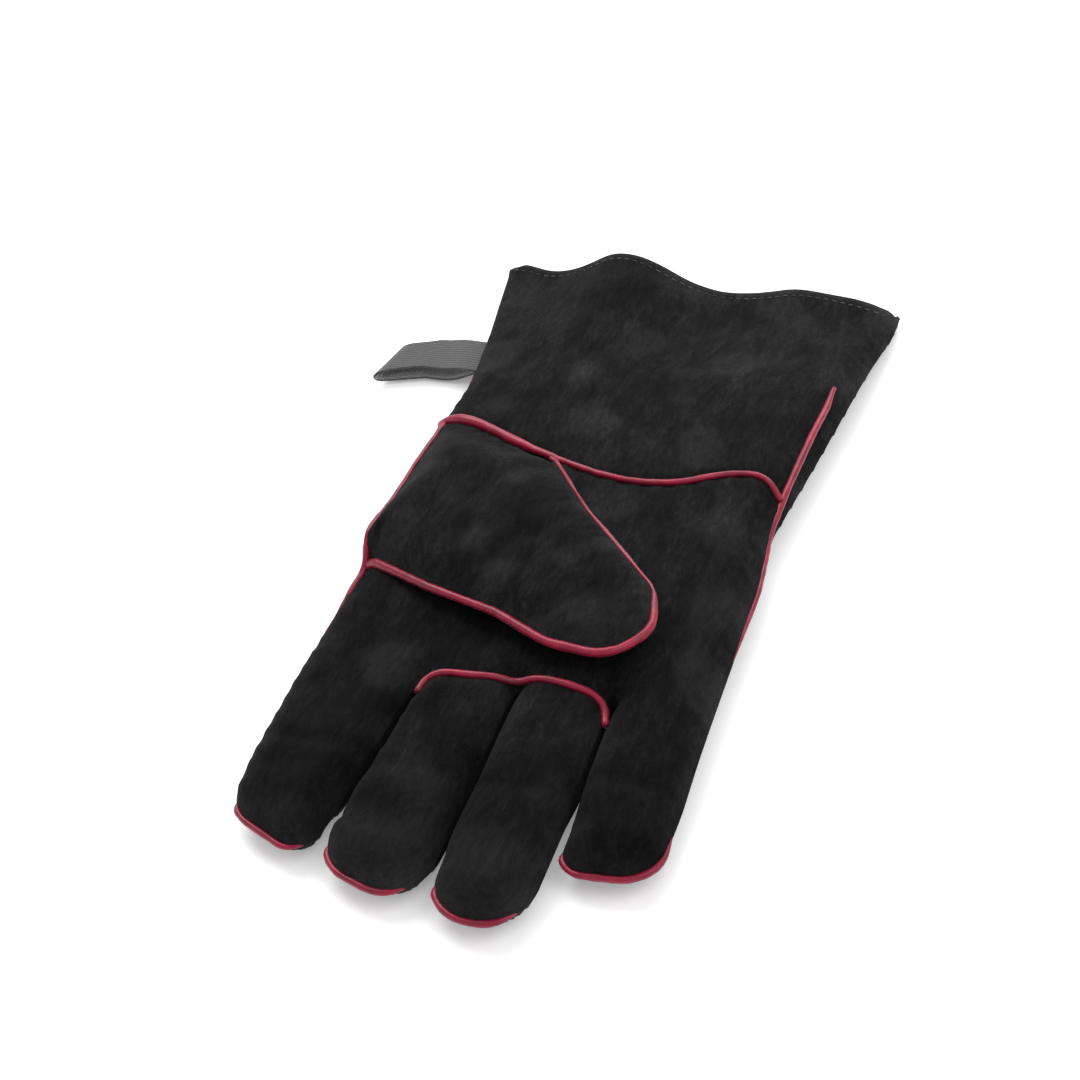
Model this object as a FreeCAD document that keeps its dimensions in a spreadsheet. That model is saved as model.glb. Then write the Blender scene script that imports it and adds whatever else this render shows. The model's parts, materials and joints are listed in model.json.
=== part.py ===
import FreeCAD, Part
import math
import os
import Sketcher
import PartDesign
from FreeCAD import Placement, Rotation, Vector

# A welted leather barbecue glove for the right hand, lying palm up on a table.
# +Z is up out of the palm, the fingers point to -Y, the cuff opens to +Y, the thumb is on the -X side.
# The origin is on the table under the middle of the hand.
# Every leather panel is a shallow tray: the back panels open upwards, the palm panels downwards,
# and they meet at the seam level, where the red welts lie. A cotton lining follows the leather inside.
# The leather is divided at the lines where it folds: the wrist, the thumb's root, each finger's root
# and each finger's middle. Every fold's axis is at the palm's surface, so that bending opens the fold.

doc = FreeCAD.newDocument("heat_resistant_glove")
sheet = doc.addObject("Spreadsheet::Sheet", "dims")
sheet.Label = "dims"

DRIVING = {
    # layers
    "leather": 1.6,
    "lining_gap": 0.2,
    "lining": 1.2,
    "overrun": 2.0,
    "seam_level": 9.9,
    "palm_level": 20.0,
    "table_level": 0.0,
    "flush": 0.0,
    "open_inset": -2.0,
    "edge_round": 3.0,
    "lining_round": 1.6,
    "welt_inset": -1.4,
    "welt_half": 1.0,
    "top_welt_rise": 1.7,
    "top_welt_half": 1.5,
    "fold_gap": 0.3,
    # hand
    "wrist_fold": 48.0,
    "finger_fold": -89.0,
    "hand_left_wrist": -72.6,
    "hand_left_root": -72.0,
    "hand_right_wrist": 75.3,
    "hand_right_waist": 69.4,
    "hand_waist": 4.0,
    "hand_right_root": 71.0,
    # cuff
    "cuff_edge": 160.0,
    "cuff_left_neck": -71.6,
    "cuff_neck": 74.0,
    "cuff_left_edge": -83.5,
    "cuff_right_edge": 86.5,
    "cuff_right_neck": 81.0,
    "little_welt_end": 92.0,
    # hang loop, a folded tape
    "loop_root": -76.8,
    "loop_far": -116.0,
    "loop_low": 0.6,
    "loop_high": 9.4,
    "loop_tape": 1.4,
    "loop_near_y": 86.0,
    "loop_width": 22.0,
    "loop_outer_round": 3.8,
    "loop_inner_round": 2.4,
    # thumb
    "thumb_rest": 20.3,
    "thumb_seam": 27.6,
    "thumb_top": 36.0,
    "thumb_round": 14.0,
    "thumb_soft_round": 25.0,
    "thenar_edge": 21.8,
    "thumb_hole_rim": 6.0,
    "crotch_depth": 3.2,
    # emblem, a plain oval patch let into the cuff's back
    "patch_x": -6.0,
    "patch_y": 82.0,
    "patch_half_width": 17.0,
    "patch_half_length": 25.0,
    "patch_depth": 0.8,
    "patch_clear": 0.1,
    "patch_round": 14.0,
    # stitches of the cuff's hem
    "hem_inset": 5.0,
    "stitch_half_length": 1.6,
    "stitch_half_width": 0.4,
    "stitch_rise": 0.5,
    "stitch_pitch": 6.0,
}

# Each finger: left and right x at its root, at its middle fold and at its tip's corners,
# the fold's y, the tip corners' y, and the radii that round the tip.
FINGERS = {
    "index": {"root": (-71.9, -29.2), "knuckle": (-72.3, -33.2), "knuckle_y": -127.0,
              "tip": (-71.0, -37.0), "tip_y": (-151.0, -165.5), "round": (13.0, 9.0)},
    "middle": {"root": (-26.8, 4.6), "knuckle": (-30.8, 3.9), "knuckle_y": -131.0,
               "tip": (-34.6, 2.8), "tip_y": (-168.0, -176.5), "round": (13.0, 13.0)},
    "ring": {"root": (6.3, 37.7), "knuckle": (5.5, 37.8), "knuckle_y": -131.0,
             "tip": (4.4, 37.0), "tip_y": (-177.0, -176.0), "round": (13.0, 13.0)},
    "little": {"root": (39.4, 70.9), "knuckle": (39.5, 71.4), "knuckle_y": -122.0,
               "tip": (39.9, 70.3), "tip_y": (-152.5, -149.5), "round": (8.0, 12.0)},
}

# Lines that are followed on the palm: the wrist seam, the seam of the finger inset,
# the thumb's outline from its root's upper end round the tip, and the thenar panel's outer corners.
WRIST_SEAM = [(-69.4, 42.0), (-46.0, 36.0), (-19.0, 26.0), (5.0, 18.5), (33.0, 20.0), (55.0, 32.0),
              (66.0, 30.0)]
INSET_SEAM = [(-25.0, -86.6), (-5.0, -84.6), (11.0, -82.2), (28.0, -84.2), (39.0, -86.6)]
THUMB_OUTLINE = [(-17.0, 21.0), (-66.0, -41.0), (-36.0, -57.0), (14.0, -76.5), (42.5, -77.0), (43.0, -48.0)]
THENAR_OUTER = [(-69.0, 38.0), (-69.0, -38.0)]

# Tolerances for finding edges: two lengths that count as equal, and a point that counts as on a line.
SAME = 0.01
ON_LINE = 0.05


def all_cells():
    """Every named value of the sheet: the driving ones, the fingers' and the followed lines'."""
    cells = dict(DRIVING)
    for finger, plan in FINGERS.items():
        cells[f"{finger}_knuckle_fold"] = plan["knuckle_y"]
        for place, side in enumerate(("left", "right")):
            cells[f"{finger}_{side}_root"] = plan["root"][place]
            cells[f"{finger}_{side}_knuckle"] = plan["knuckle"][place]
            cells[f"{finger}_{side}_tip"] = plan["tip"][place]
            cells[f"{finger}_{side}_end"] = plan["tip_y"][place]
            cells[f"{finger}_{side}_round"] = plan["round"][place]
    lines = {"wrist": WRIST_SEAM, "inset": INSET_SEAM, "thumb": THUMB_OUTLINE, "thenar": THENAR_OUTER}
    for name, points in lines.items():
        for number, (x, y) in enumerate(points):
            cells[f"{name}_across_{number}"] = x
            cells[f"{name}_along_{number}"] = y
    return cells


CELLS = all_cells()
for row, (alias, value) in enumerate(CELLS.items(), start=1):
    sheet.set(f"A{row}", str(value))
    sheet.setAlias(f"A{row}", alias)
doc.recompute()


def signed_cells(text):
    """The (sign, alias) pairs of a sum such as "palm_level - leather"."""
    words = text.split()
    return list(zip(["+"] + words[1::2], words[::2]))


def amount(text):
    """The value of a sum of cells."""
    return sum(CELLS[alias] * (1 if sign == "+" else -1) for sign, alias in signed_cells(text))


def bound(text):
    """The same sum as an expression on the sheet."""
    return " ".join(f"{sign} dims.{alias}" for sign, alias in signed_cells(text)).lstrip("+ ")


def place_of(line, number):
    """The (x, y) cells of one point of a followed line."""
    return f"{line}_across_{number}", f"{line}_along_{number}"


def inset_corners(corners, insets):
    """Corners of an anticlockwise outline with each edge moved inwards by its own sum of cells.

    Edge number n runs from corner n to the next. Each result is ((x, expression), (y, expression)).
    """
    spots = [(amount(x), amount(y)) for x, y in corners]
    count = len(corners)
    moved = []
    for here in range(count):
        before = (here - 1) % count
        after = (here + 1) % count
        normals = []
        for first, last in ((before, here), (here, after)):
            along = Vector(spots[last][0] - spots[first][0], spots[last][1] - spots[first][1], 0)
            along.normalize()
            normals.append((-along.y, along.x))
        (ax, ay), (bx, by) = normals
        turn = ax * by - ay * bx
        shares = ((by / turn, -ay / turn), (-bx / turn, ax / turn))
        pair = []
        for text, (first, second) in zip(corners[here], shares):
            value = amount(text) + first * amount(insets[before]) + second * amount(insets[here])
            formula = f"{bound(text)} + ({first:.6f}) * ({bound(insets[before])})"
            formula += f" + ({second:.6f}) * ({bound(insets[here])})"
            pair.append((value, formula))
        moved.append(tuple(pair))
    return moved


def plane_of(body, role):
    """One of a body's own origin planes."""
    return next(plane for plane in body.Origin.OriginFeatures if plane.Role == role)


def draw_polygons(sketch, polygons):
    """Closed polygons whose corners are bound to the sheet."""
    for polygon in polygons:
        first = sketch.GeometryCount
        count = len(polygon)
        for number in range(count):
            (x, _), (y, _) = polygon[number]
            (next_x, _), (next_y, _) = polygon[(number + 1) % count]
            sketch.addGeometry(Part.LineSegment(Vector(x, y, 0), Vector(next_x, next_y, 0)))
        for number in range(count):
            follower = first + (number + 1) % count
            sketch.addConstraint(Sketcher.Constraint("Coincident", first + number, 2, follower, 1))
        for number, corner in enumerate(polygon):
            for kind, (value, formula) in zip(("DistanceX", "DistanceY"), corner):
                made = sketch.addConstraint(Sketcher.Constraint(kind, -1, 1, first + number, 1, value))
                sketch.setExpression(f"Constraints[{made}]", formula)


def flat_sketch(body, name, level, corners, insets):
    """A sketch of one inset outline at a level of the body."""
    sketch = body.newObject("Sketcher::SketchObject", name)
    sketch.AttachmentSupport = [(plane_of(body, "XY_Plane"), "")]
    sketch.MapMode = "FlatFace"
    sketch.setExpression("AttachmentOffset.Base.z", bound(level))
    draw_polygons(sketch, [inset_corners(corners, insets)])
    return sketch


def new_body(label):
    """An empty body whose label names its file."""
    body = doc.addObject("PartDesign::Body", label)
    body.Label = label
    return body


def add_pad(body, sketch, low, high):
    """A pad of a flat sketch from one level up to another."""
    pad = body.newObject("PartDesign::Pad", f"{body.Label}_block")
    pad.Profile = sketch
    pad.setExpression("Length", f"{bound(high)} - ({bound(low)})")
    doc.recompute()
    return pad


def add_pocket(body, sketch, low, high, name="hollow"):
    """A pocket from a flat sketch at the high level down to the low one; it has to take material away."""
    before = body.Shape.Volume
    pocket = body.newObject("PartDesign::Pocket", f"{body.Label}_{name}")
    pocket.Profile = sketch
    pocket.setExpression("Length", f"{bound(high)} - ({bound(low)})")
    pocket.Reversed = False
    doc.recompute()
    if body.Shape.Volume >= before:
        raise RuntimeError(f"{pocket.Label} cuts nothing")
    return pocket


def add_fillet(body, edges, radius, name):
    """A fillet on some of the tip's edges, with a radius given by a sum of cells."""
    base = body.Tip
    names = [f"Edge{number}" for number, edge in enumerate(base.Shape.Edges, start=1) if edges(edge)]
    if not names:
        raise RuntimeError(f"{body.Label} has no edge to round at {name}")
    fillet = body.newObject("PartDesign::Fillet", f"{body.Label}_{name}")
    fillet.Base = (base, names)
    fillet.setExpression("Radius", bound(radius))
    doc.recompute()
    return fillet


def upright_near(x, y, reach=1.0):
    """A test for upright straight edges near a point of the plan."""
    def test(edge):
        box = edge.BoundBox
        upright = box.XLength + box.YLength < SAME
        return upright and math.hypot(box.XMin - x, box.YMin - y) < reach
    return test


def rim_at(level, open_lines):
    """A test for edges that lie at a level, apart from those along the outline's open lines."""
    def test(edge):
        box = edge.BoundBox
        if abs(box.ZMin - level) > SAME or abs(box.ZMax - level) > SAME:
            return False
        middle = edge.valueAt((edge.FirstParameter + edge.LastParameter) / 2)
        for first, last in open_lines:
            along = (last - first).normalize()
            offset = middle - first
            if abs(offset.x * along.y - offset.y * along.x) < ON_LINE:
                return False
        return True
    return test


def tray(label, corners, edges, levels, floor, start="flush", thickness="leather", rim="edge_round",
         rounds=()):
    """A thin-walled panel on an outline.

    edges says what each edge of the outline has: "wall", "bare" (no wall, but a rounded rim), "open"
    (nothing) or "fold" (nothing, and set back from the fold's line). levels are the panel's low and
    high levels and floor the hollow's. start is the inset of the panel's outside, rim the radius of
    its long edges, and rounds holds (corner number, radius cell).
    """
    low, high = levels
    hollow_low, hollow_high = floor
    set_back = {"wall": start, "bare": start, "open": "flush", "fold": "fold_gap"}
    insets = [set_back[kind] for kind in edges]
    outer_rounds = [(number, f"{radius} - {spread(start)}") for number, radius in rounds]
    body_label = f"{label}_outside" if rounds else label
    body = rounded_block(body_label, corners, insets, levels, outer_rounds)
    outer = inset_corners(corners, insets)
    open_lines = []
    for number, kind in enumerate(edges):
        if kind in ("open", "fold"):
            ends = [outer[number], outer[(number + 1) % len(outer)]]
            open_lines.append([Vector(x[0], y[0], 0) for x, y in ends])
    if amount(hollow_low) > amount(low):
        add_fillet(body, rim_at(amount(low), open_lines), rim, "rim_below")
    if amount(hollow_high) < amount(high):
        add_fillet(body, rim_at(amount(high), open_lines), rim, "rim_above")
    insets = [f"{start} + {thickness}" if kind == "wall" else "open_inset" for kind in edges]
    if not rounds:
        hollow = flat_sketch(body, f"{label}_hollow", hollow_high, corners, insets)
        add_pocket(body, hollow, hollow_low, hollow_high)
        return body
    inner_rounds = [(number, f"{radius} - {spread(start)} - {thickness}") for number, radius in rounds]
    return cut(label, body, rounded_block(f"{label}_hollow", corners, insets, floor, inner_rounds))


def spread(text):
    """A sum of cells rewritten so that it can follow a minus sign."""
    return " - ".join(alias for _, alias in signed_cells(text))


def rounded_block(label, corners, insets, levels, rounds):
    """An upright block on an inset outline with some corners rounded."""
    low, high = levels
    body = new_body(label)
    add_pad(body, flat_sketch(body, f"{label}_outline", low, corners, insets), low, high)
    outer = inset_corners(corners, insets)
    for number, radius in rounds:
        (x, _), (y, _) = outer[number]
        add_fillet(body, upright_near(x, y), radius, f"corner_{number}")
    return body


def crescent(label, corners, edges, levels, rounds, grown="flush"):
    """A welt proud of an outline's walls: a larger block less the block that the leather fills."""
    low, high = levels
    outside = {"wall": "welt_inset", "bare": "flush", "fold": "fold_gap"}
    inside = {"wall": "flush", "bare": "flush", "fold": "open_inset"}
    large_rounds = [(number, f"{radius} - {grown}") for number, radius in rounds]
    large = rounded_block(f"{label}_large", corners, [outside[kind] for kind in edges], levels, large_rounds)
    cutter_levels = (f"{low} - leather", f"{high} + leather")
    small = rounded_block(f"{label}_small", corners, [inside[kind] for kind in edges], cutter_levels, rounds)
    return cut(label, large, small)


def cut(label, base, tool):
    """A Part::Cut of two objects of the document, which has to take material away."""
    made = doc.addObject("Part::Cut", label)
    made.Label = label
    made.Base = base
    made.Tool = tool
    doc.recompute()
    if made.Shape.Volume >= base.Shape.Volume:
        raise RuntimeError(f"{label} cuts nothing")
    return made


def extruded(label, polygons, low, high):
    """One or more upright prisms on closed polygons, from one level to another."""
    sketch = doc.addObject("Sketcher::SketchObject", f"{label}_outline")
    sketch.setExpression("Placement.Base.z", bound(low))
    draw_polygons(sketch, polygons)
    solid = doc.addObject("Part::Extrusion", label)
    solid.Label = label
    solid.Base = sketch
    solid.DirMode = "Custom"
    solid.Dir = Vector(0, 0, 1)
    solid.Solid = True
    solid.setExpression("LengthFwd", f"{bound(high)} - ({bound(low)})")
    doc.recompute()
    return solid


def shifted_line(points, shift):
    """The points of an open line moved to its left by a sum of cells."""
    spots = [Vector(amount(x), amount(y), 0) for x, y in points]
    last = len(points) - 1
    moved = []
    for here, texts in enumerate(points):
        along = spots[min(here + 1, last)] - spots[max(here - 1, 0)]
        along.normalize()
        pair = []
        for text, share in zip(texts, (-along.y, along.x)):
            value = amount(text) + share * amount(shift)
            pair.append((value, f"{bound(text)} + ({share:.6f}) * ({bound(shift)})"))
        moved.append(tuple(pair))
    return moved


def ribbon(points, half):
    """The outline of a strip that follows an open line."""
    return shifted_line(points, half) + shifted_line(points, f"flush - {half}")[::-1]


def side_strip(corners, insets_in, insets_out, first, last):
    """The outline of a strip between two insets of the same edges, from corner first to corner last."""
    near = inset_corners(corners, insets_in)
    far = inset_corners(corners, insets_out)
    return near[first:last + 1] + far[first:last + 1][::-1]


BACK = ("table_level", "seam_level")
BACK_FLOOR = ("leather", "seam_level + overrun")
FRONT = ("seam_level", "palm_level")
FRONT_FLOOR = ("seam_level - overrun", "palm_level - leather")
TUBE = ("leather + lining_gap", "palm_level - leather - lining_gap")
TUBE_FLOOR = ("leather + lining_gap + lining", "palm_level - leather - lining_gap - lining")
INSIDE_LEATHER = "leather + lining_gap"
SEAM_BAND = ("seam_level - welt_half", "seam_level + welt_half")
TOP_BAND = ("palm_level", "palm_level + top_welt_rise")

made = []


def three_layers(names, corners, edges, front_edges, rounds=()):
    """The back tray, the palm-side tray and the lining tube of one stretch of the glove."""
    back, front, lining = names
    made.append(tray(back, corners, edges, BACK, BACK_FLOOR, rounds=rounds))
    made.append(tray(front, corners, front_edges, FRONT, FRONT_FLOOR, rounds=rounds))
    made.append(tray(lining, corners, edges, TUBE, TUBE_FLOOR, start=INSIDE_LEATHER,
                     thickness="lining", rim="lining_round", rounds=rounds))


# The hand, from the wrist fold to the fingers' root folds.
HAND = [
    ("hand_left_wrist", "wrist_fold"),
    ("hand_left_root", "finger_fold"),
    ("hand_right_root", "finger_fold"),
    ("hand_right_waist", "hand_waist"),
    ("hand_right_wrist", "wrist_fold"),
]
HAND_EDGES = ["wall", "fold", "wall", "wall", "fold"]
THUMB_HOLE = [place_of("thumb", 0), place_of("thenar", 0), place_of("thumb", 1)]


def open_thumb_hole(body):
    """Cuts the hole of the thumb's root through the panel's upper wall, under the thenar panel."""
    hole = flat_sketch(body, f"{body.Label}_thumb_hole", "palm_level", THUMB_HOLE, ["thumb_hole_rim"] * 3)
    add_pocket(body, hole, "seam_level + leather", "palm_level", "thumb_opening")


back_panel = tray("back_panel", HAND, HAND_EDGES, BACK, BACK_FLOOR)
palm_panel = tray("palm_panel", HAND, HAND_EDGES, FRONT, FRONT_FLOOR)
open_thumb_hole(palm_panel)
LINED_HAND = [(x, "finger_fold + crotch_depth" if y == "finger_fold" else y) for x, y in HAND]
hand_lining = tray("hand_lining", LINED_HAND, HAND_EDGES, TUBE, TUBE_FLOOR, start=INSIDE_LEATHER,
                   thickness="lining", rim="lining_round")
open_thumb_hole(hand_lining)
made += [back_panel, palm_panel, hand_lining]


def crotch(left_finger, right_finger):
    """The corners of a fourchette's crotch, which closes the hand between two fingers."""
    near, far = "finger_fold + fold_gap", "finger_fold + crotch_depth"
    left, right = f"{left_finger}_right_root", f"{right_finger}_left_root"
    corners = [(left, near), (right, near), (right, far), (left, far)]
    return inset_corners(corners, ["flush"] * 4)


NAMES = list(FINGERS)
made.append(extruded("fourchette_crotches", [crotch(*pair) for pair in zip(NAMES, NAMES[1:])],
                     "leather", "palm_level - leather"))
FLAT_HAND = ["flush", "fold_gap", "flush", "flush", "fold_gap"]
PROUD_HAND = ["welt_inset", "fold_gap", "welt_inset", "welt_inset", "fold_gap"]
made.append(extruded("thumb_side_welt", [side_strip(HAND, FLAT_HAND, PROUD_HAND, 0, 1)], *SEAM_BAND))
made.append(extruded("little_side_welt", [side_strip(HAND, FLAT_HAND, PROUD_HAND, 2, 4)], *SEAM_BAND))
wrist_line = [place_of("wrist", number) for number in range(len(WRIST_SEAM))]
made.append(extruded("wrist_welt", [ribbon(wrist_line, "top_welt_half")], *TOP_BAND))
inset_line = [place_of("inset", number) for number in range(len(INSET_SEAM))]
made.append(extruded("finger_base_welt", [ribbon(inset_line, "top_welt_half")], *TOP_BAND))


def upright_frame(name, start, end, low, high, shift, inset):
    """An upright rectangle over the line from start to end, shortened by inset at both ends."""
    first = Vector(amount(start[0]), amount(start[1]), 0)
    along = Vector(amount(end[0]), amount(end[1]), 0) - first
    span = along.Length
    along.normalize()
    level = Vector(0, 0, 1)
    outward = along.cross(level)
    sketch = doc.addObject("Sketcher::SketchObject", name)
    sketch.Placement = Placement(first + outward * amount(shift), Rotation(along, level, outward))
    near, far = amount(inset), span - amount(inset)
    corners = [(near, low), (far, low), (far, high), (near, high)]
    polygon = []
    for run, (height_value, height_formula) in corners:
        polygon.append(((run, f"{run:.6f}"), (height_value, height_formula)))
    draw_polygons(sketch, [polygon])
    return sketch


def wedge(label, levels, far_levels, inset):
    """A ruled solid from the thumb's root fold down to the thenar panel's outer edge."""
    sections = []
    lines = ((place_of("thumb", 1), place_of("thumb", 0)), (place_of("thenar", 1), place_of("thenar", 0)))
    for number, ((start, end), (low, high)) in enumerate(zip(lines, (levels, far_levels))):
        shift = "flush - fold_gap" if number == 0 else inset
        heights = [(amount(low), bound(low)), (amount(high), bound(high))]
        sections.append(upright_frame(f"{label}_section_{number}", start, end, *heights, shift, inset))
    solid = doc.addObject("Part::Loft", label)
    solid.Sections = sections
    solid.Solid = True
    solid.Ruled = True
    doc.recompute()
    return solid


thenar_outside = wedge("thenar_outside", ("palm_level", "thumb_top"), ("palm_level", "thenar_edge"), "flush")
thenar_inside = wedge("thenar_inside", ("palm_level - leather", "thumb_top - leather"),
                      ("palm_level - leather", "thenar_edge - leather"), "leather")
made.append(cut("thenar_panel", thenar_outside, thenar_inside))

# The cuff, from the wrist fold to its open edge.
CUFF = [
    ("cuff_left_edge", "cuff_edge"),
    ("cuff_left_neck", "cuff_neck"),
    ("hand_left_wrist", "wrist_fold"),
    ("hand_right_wrist", "wrist_fold"),
    ("cuff_right_neck", "little_welt_end"),
    ("cuff_right_edge", "cuff_edge"),
]
CUFF_EDGES = ["wall", "wall", "fold", "wall", "wall", "open"]
three_layers(("cuff_back", "cuff_front", "cuff_lining"), CUFF, CUFF_EDGES, CUFF_EDGES)
cuff_back = made[-3]

PATCH = [
    ("patch_x - patch_half_width", "patch_y + patch_half_length"),
    ("patch_x - patch_half_width", "patch_y - patch_half_length"),
    ("patch_x + patch_half_width", "patch_y - patch_half_length"),
    ("patch_x + patch_half_width", "patch_y + patch_half_length"),
]
patch_seat = flat_sketch(cuff_back, "patch_seat", "patch_depth", PATCH, ["flush"] * 4)
add_pocket(cuff_back, patch_seat, "table_level", "patch_depth", "patch_recess")
for x, y in PATCH:
    add_fillet(cuff_back, upright_near(amount(x), amount(y)), "patch_round", "patch_corner")
patch_rounds = [(number, "patch_round - patch_clear") for number in range(4)]
made.append(rounded_block("back_emblem", PATCH, ["patch_clear"] * 4,
                          ("table_level + patch_clear", "patch_depth"), patch_rounds))


FLAT_CUFF = ["flush", "flush", "fold_gap", "flush", "flush", "flush"]
PROUD_CUFF = ["welt_inset", "welt_inset", "fold_gap", "welt_inset", "welt_inset", "flush"]
made.append(extruded("cuff_thumb_side_welt", [side_strip(CUFF, FLAT_CUFF, PROUD_CUFF, 1, 2)], *SEAM_BAND))
made.append(extruded("cuff_little_side_welt", [side_strip(CUFF, FLAT_CUFF, PROUD_CUFF, 3, 4)], *SEAM_BAND))


def stitch(x):
    """The corners of one stitch of the hem, lying across the cuff's front."""
    y = "cuff_edge - hem_inset"
    length, width = amount("stitch_half_length"), amount("stitch_half_width")
    signs = ((-1, 1), (-1, -1), (1, -1), (1, 1))
    corners = []
    for side, end in signs:
        across = (x + side * length, f"{x:.3f} + ({side}) * dims.stitch_half_length")
        along = (amount(y) + end * width, f"{bound(y)} + ({end}) * dims.stitch_half_width")
        corners.append((across, along))
    return corners


stitch_from = amount("cuff_left_edge + edge_round + stitch_half_length")
stitch_to = amount("cuff_right_edge - edge_round - stitch_half_length")
stitch_count = int((stitch_to - stitch_from) // amount("stitch_pitch"))
stitches = [stitch(stitch_from + number * amount("stitch_pitch")) for number in range(stitch_count + 1)]
made.append(extruded("cuff_hem_stitching", stitches, "palm_level", "palm_level + stitch_rise"))

# The hang loop, a tape folded double and sewn into the cuff's thumb side.
hang_loop = new_body("hang_loop")


def loop_sketch(name, inset, near):
    """The loop's profile, seen along the glove, with its edges moved inwards by inset."""
    corners = [("loop_far", "loop_high"), ("loop_far", "loop_low"),
               ("loop_root", "loop_low"), ("loop_root", "loop_high")]
    sketch = hang_loop.newObject("Sketcher::SketchObject", name)
    sketch.AttachmentSupport = [(plane_of(hang_loop, "XZ_Plane"), "")]
    sketch.MapMode = "FlatFace"
    sketch.setExpression("AttachmentOffset.Base.z", f"-({bound(near)})")
    draw_polygons(sketch, [inset_corners(corners, [inset] * 4)])
    return sketch


def loop_bend(level_inset, reach=0.5):
    """A test for the loop's long edges at its far end, at an inset from its outline."""
    def test(edge):
        box = edge.BoundBox
        straight = box.XLength + box.ZLength < SAME
        return straight and abs(box.XMin - amount("loop_far") - level_inset) < reach
    return test


tape = hang_loop.newObject("PartDesign::Pad", "loop_block")
tape.Profile = loop_sketch("loop_outline", "flush", "loop_near_y + loop_width")
tape.setExpression("Length", "dims.loop_width")
doc.recompute()
add_fillet(hang_loop, loop_bend(0), "loop_outer_round", "outer_bend")
solid_loop = hang_loop.Shape.Volume
space = hang_loop.newObject("PartDesign::Pocket", "loop_space")
space.Profile = loop_sketch("loop_inside", "loop_tape", "loop_near_y + loop_width")
space.Type = "ThroughAll"
space.Midplane = True
doc.recompute()
if hang_loop.Shape.Volume >= solid_loop:
    raise RuntimeError("the hang loop isn't hollow")
add_fillet(hang_loop, loop_bend(amount("loop_tape")), "loop_inner_round", "inner_bend")
made.append(hang_loop)

# The thumb, lying over the palm from its root fold.
THUMB = [place_of("thumb", number) for number in range(len(THUMB_OUTLINE))]
THUMB_EDGES = ["fold"] + ["wall"] * (len(THUMB) - 1)
THUMB_ROUNDS = ((3, "thumb_soft_round"), (4, "thumb_round"), (5, "thumb_soft_round"))
made.append(tray("thumb_inner", THUMB, THUMB_EDGES, ("thumb_rest", "thumb_seam"),
                 ("thumb_rest + leather", "thumb_seam + overrun"), rounds=THUMB_ROUNDS))
made.append(tray("thumb_outer", THUMB, THUMB_EDGES, ("thumb_seam", "thumb_top"),
                 ("thumb_seam - overrun", "thumb_top - leather"), rounds=THUMB_ROUNDS))
made.append(tray("thumb_lining", THUMB, THUMB_EDGES,
                 ("thumb_rest + leather + lining_gap", "thumb_top - leather - lining_gap"),
                 ("thumb_rest + leather + lining_gap + lining", "thumb_top - leather - lining_gap - lining"),
                 start=INSIDE_LEATHER, thickness="lining", rim="lining_round", rounds=THUMB_ROUNDS))
made.append(crescent("thumb_welt", THUMB, THUMB_EDGES, ("thumb_seam - welt_half", "thumb_seam + welt_half"),
                     THUMB_ROUNDS, grown="welt_inset"))


def make_finger(finger):
    """One finger's base and tip, on each side of its middle fold."""
    root_left, root_right = f"{finger}_left_root", f"{finger}_right_root"
    middle_left, middle_right = f"{finger}_left_knuckle", f"{finger}_right_knuckle"
    fold = f"{finger}_knuckle_fold"
    base = [(root_left, "finger_fold"), (middle_left, fold),
            (middle_right, fold), (root_right, "finger_fold")]
    left_kind = "wall" if finger == "index" else "bare"
    right_kind = "wall" if finger == "little" else "bare"
    names = (f"{finger}_base_back", f"{finger}_base_front", f"{finger}_base_lining")
    three_layers(names, base, ["wall", "fold", "wall", "fold"], [left_kind, "fold", right_kind, "fold"])
    near = ["flush", "fold_gap", "flush", "fold_gap"]
    far = ["leather", "fold_gap", "leather", "fold_gap"]
    strips = []
    if left_kind == "bare":
        strips.append(side_strip(base, near, far, 0, 1))
    if right_kind == "bare":
        strips.append(side_strip(base, near, far, 2, 3))
    made.append(extruded(f"{finger}_fourchette", strips, "seam_level", "palm_level - leather"))
    tip = [(middle_left, fold), (f"{finger}_left_tip", f"{finger}_left_end"),
           (f"{finger}_right_tip", f"{finger}_right_end"), (middle_right, fold)]
    edges = ["wall", "wall", "wall", "fold"]
    rounds = ((1, f"{finger}_left_round"), (2, f"{finger}_right_round"))
    names = (f"{finger}_tip_back", f"{finger}_tip_front", f"{finger}_tip_lining")
    three_layers(names, tip, edges, edges, rounds=rounds)
    made.append(crescent(f"{finger}_tip_welt", tip, ["bare", "wall", "bare", "fold"], SEAM_BAND, rounds))


for finger in FINGERS:
    make_finger(finger)

doc.recompute()
for thing in doc.Objects:
    if "Invalid" in thing.State or "Error" in thing.State:
        raise RuntimeError(f"{thing.Label} failed: {thing.State}")
os.makedirs("parts", exist_ok=True)
for piece in made:
    if piece.Shape.isNull() or not piece.Shape.isValid():
        raise RuntimeError(f"{piece.Label} has no valid shape")
    piece.Shape.exportStep(f"parts/{piece.Label}.step")
    print(piece.Label, len(piece.Shape.Solids), round(piece.Shape.Volume, 1))
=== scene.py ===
import json
import math
import bpy
import numpy as np
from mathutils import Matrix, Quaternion, Vector


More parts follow.
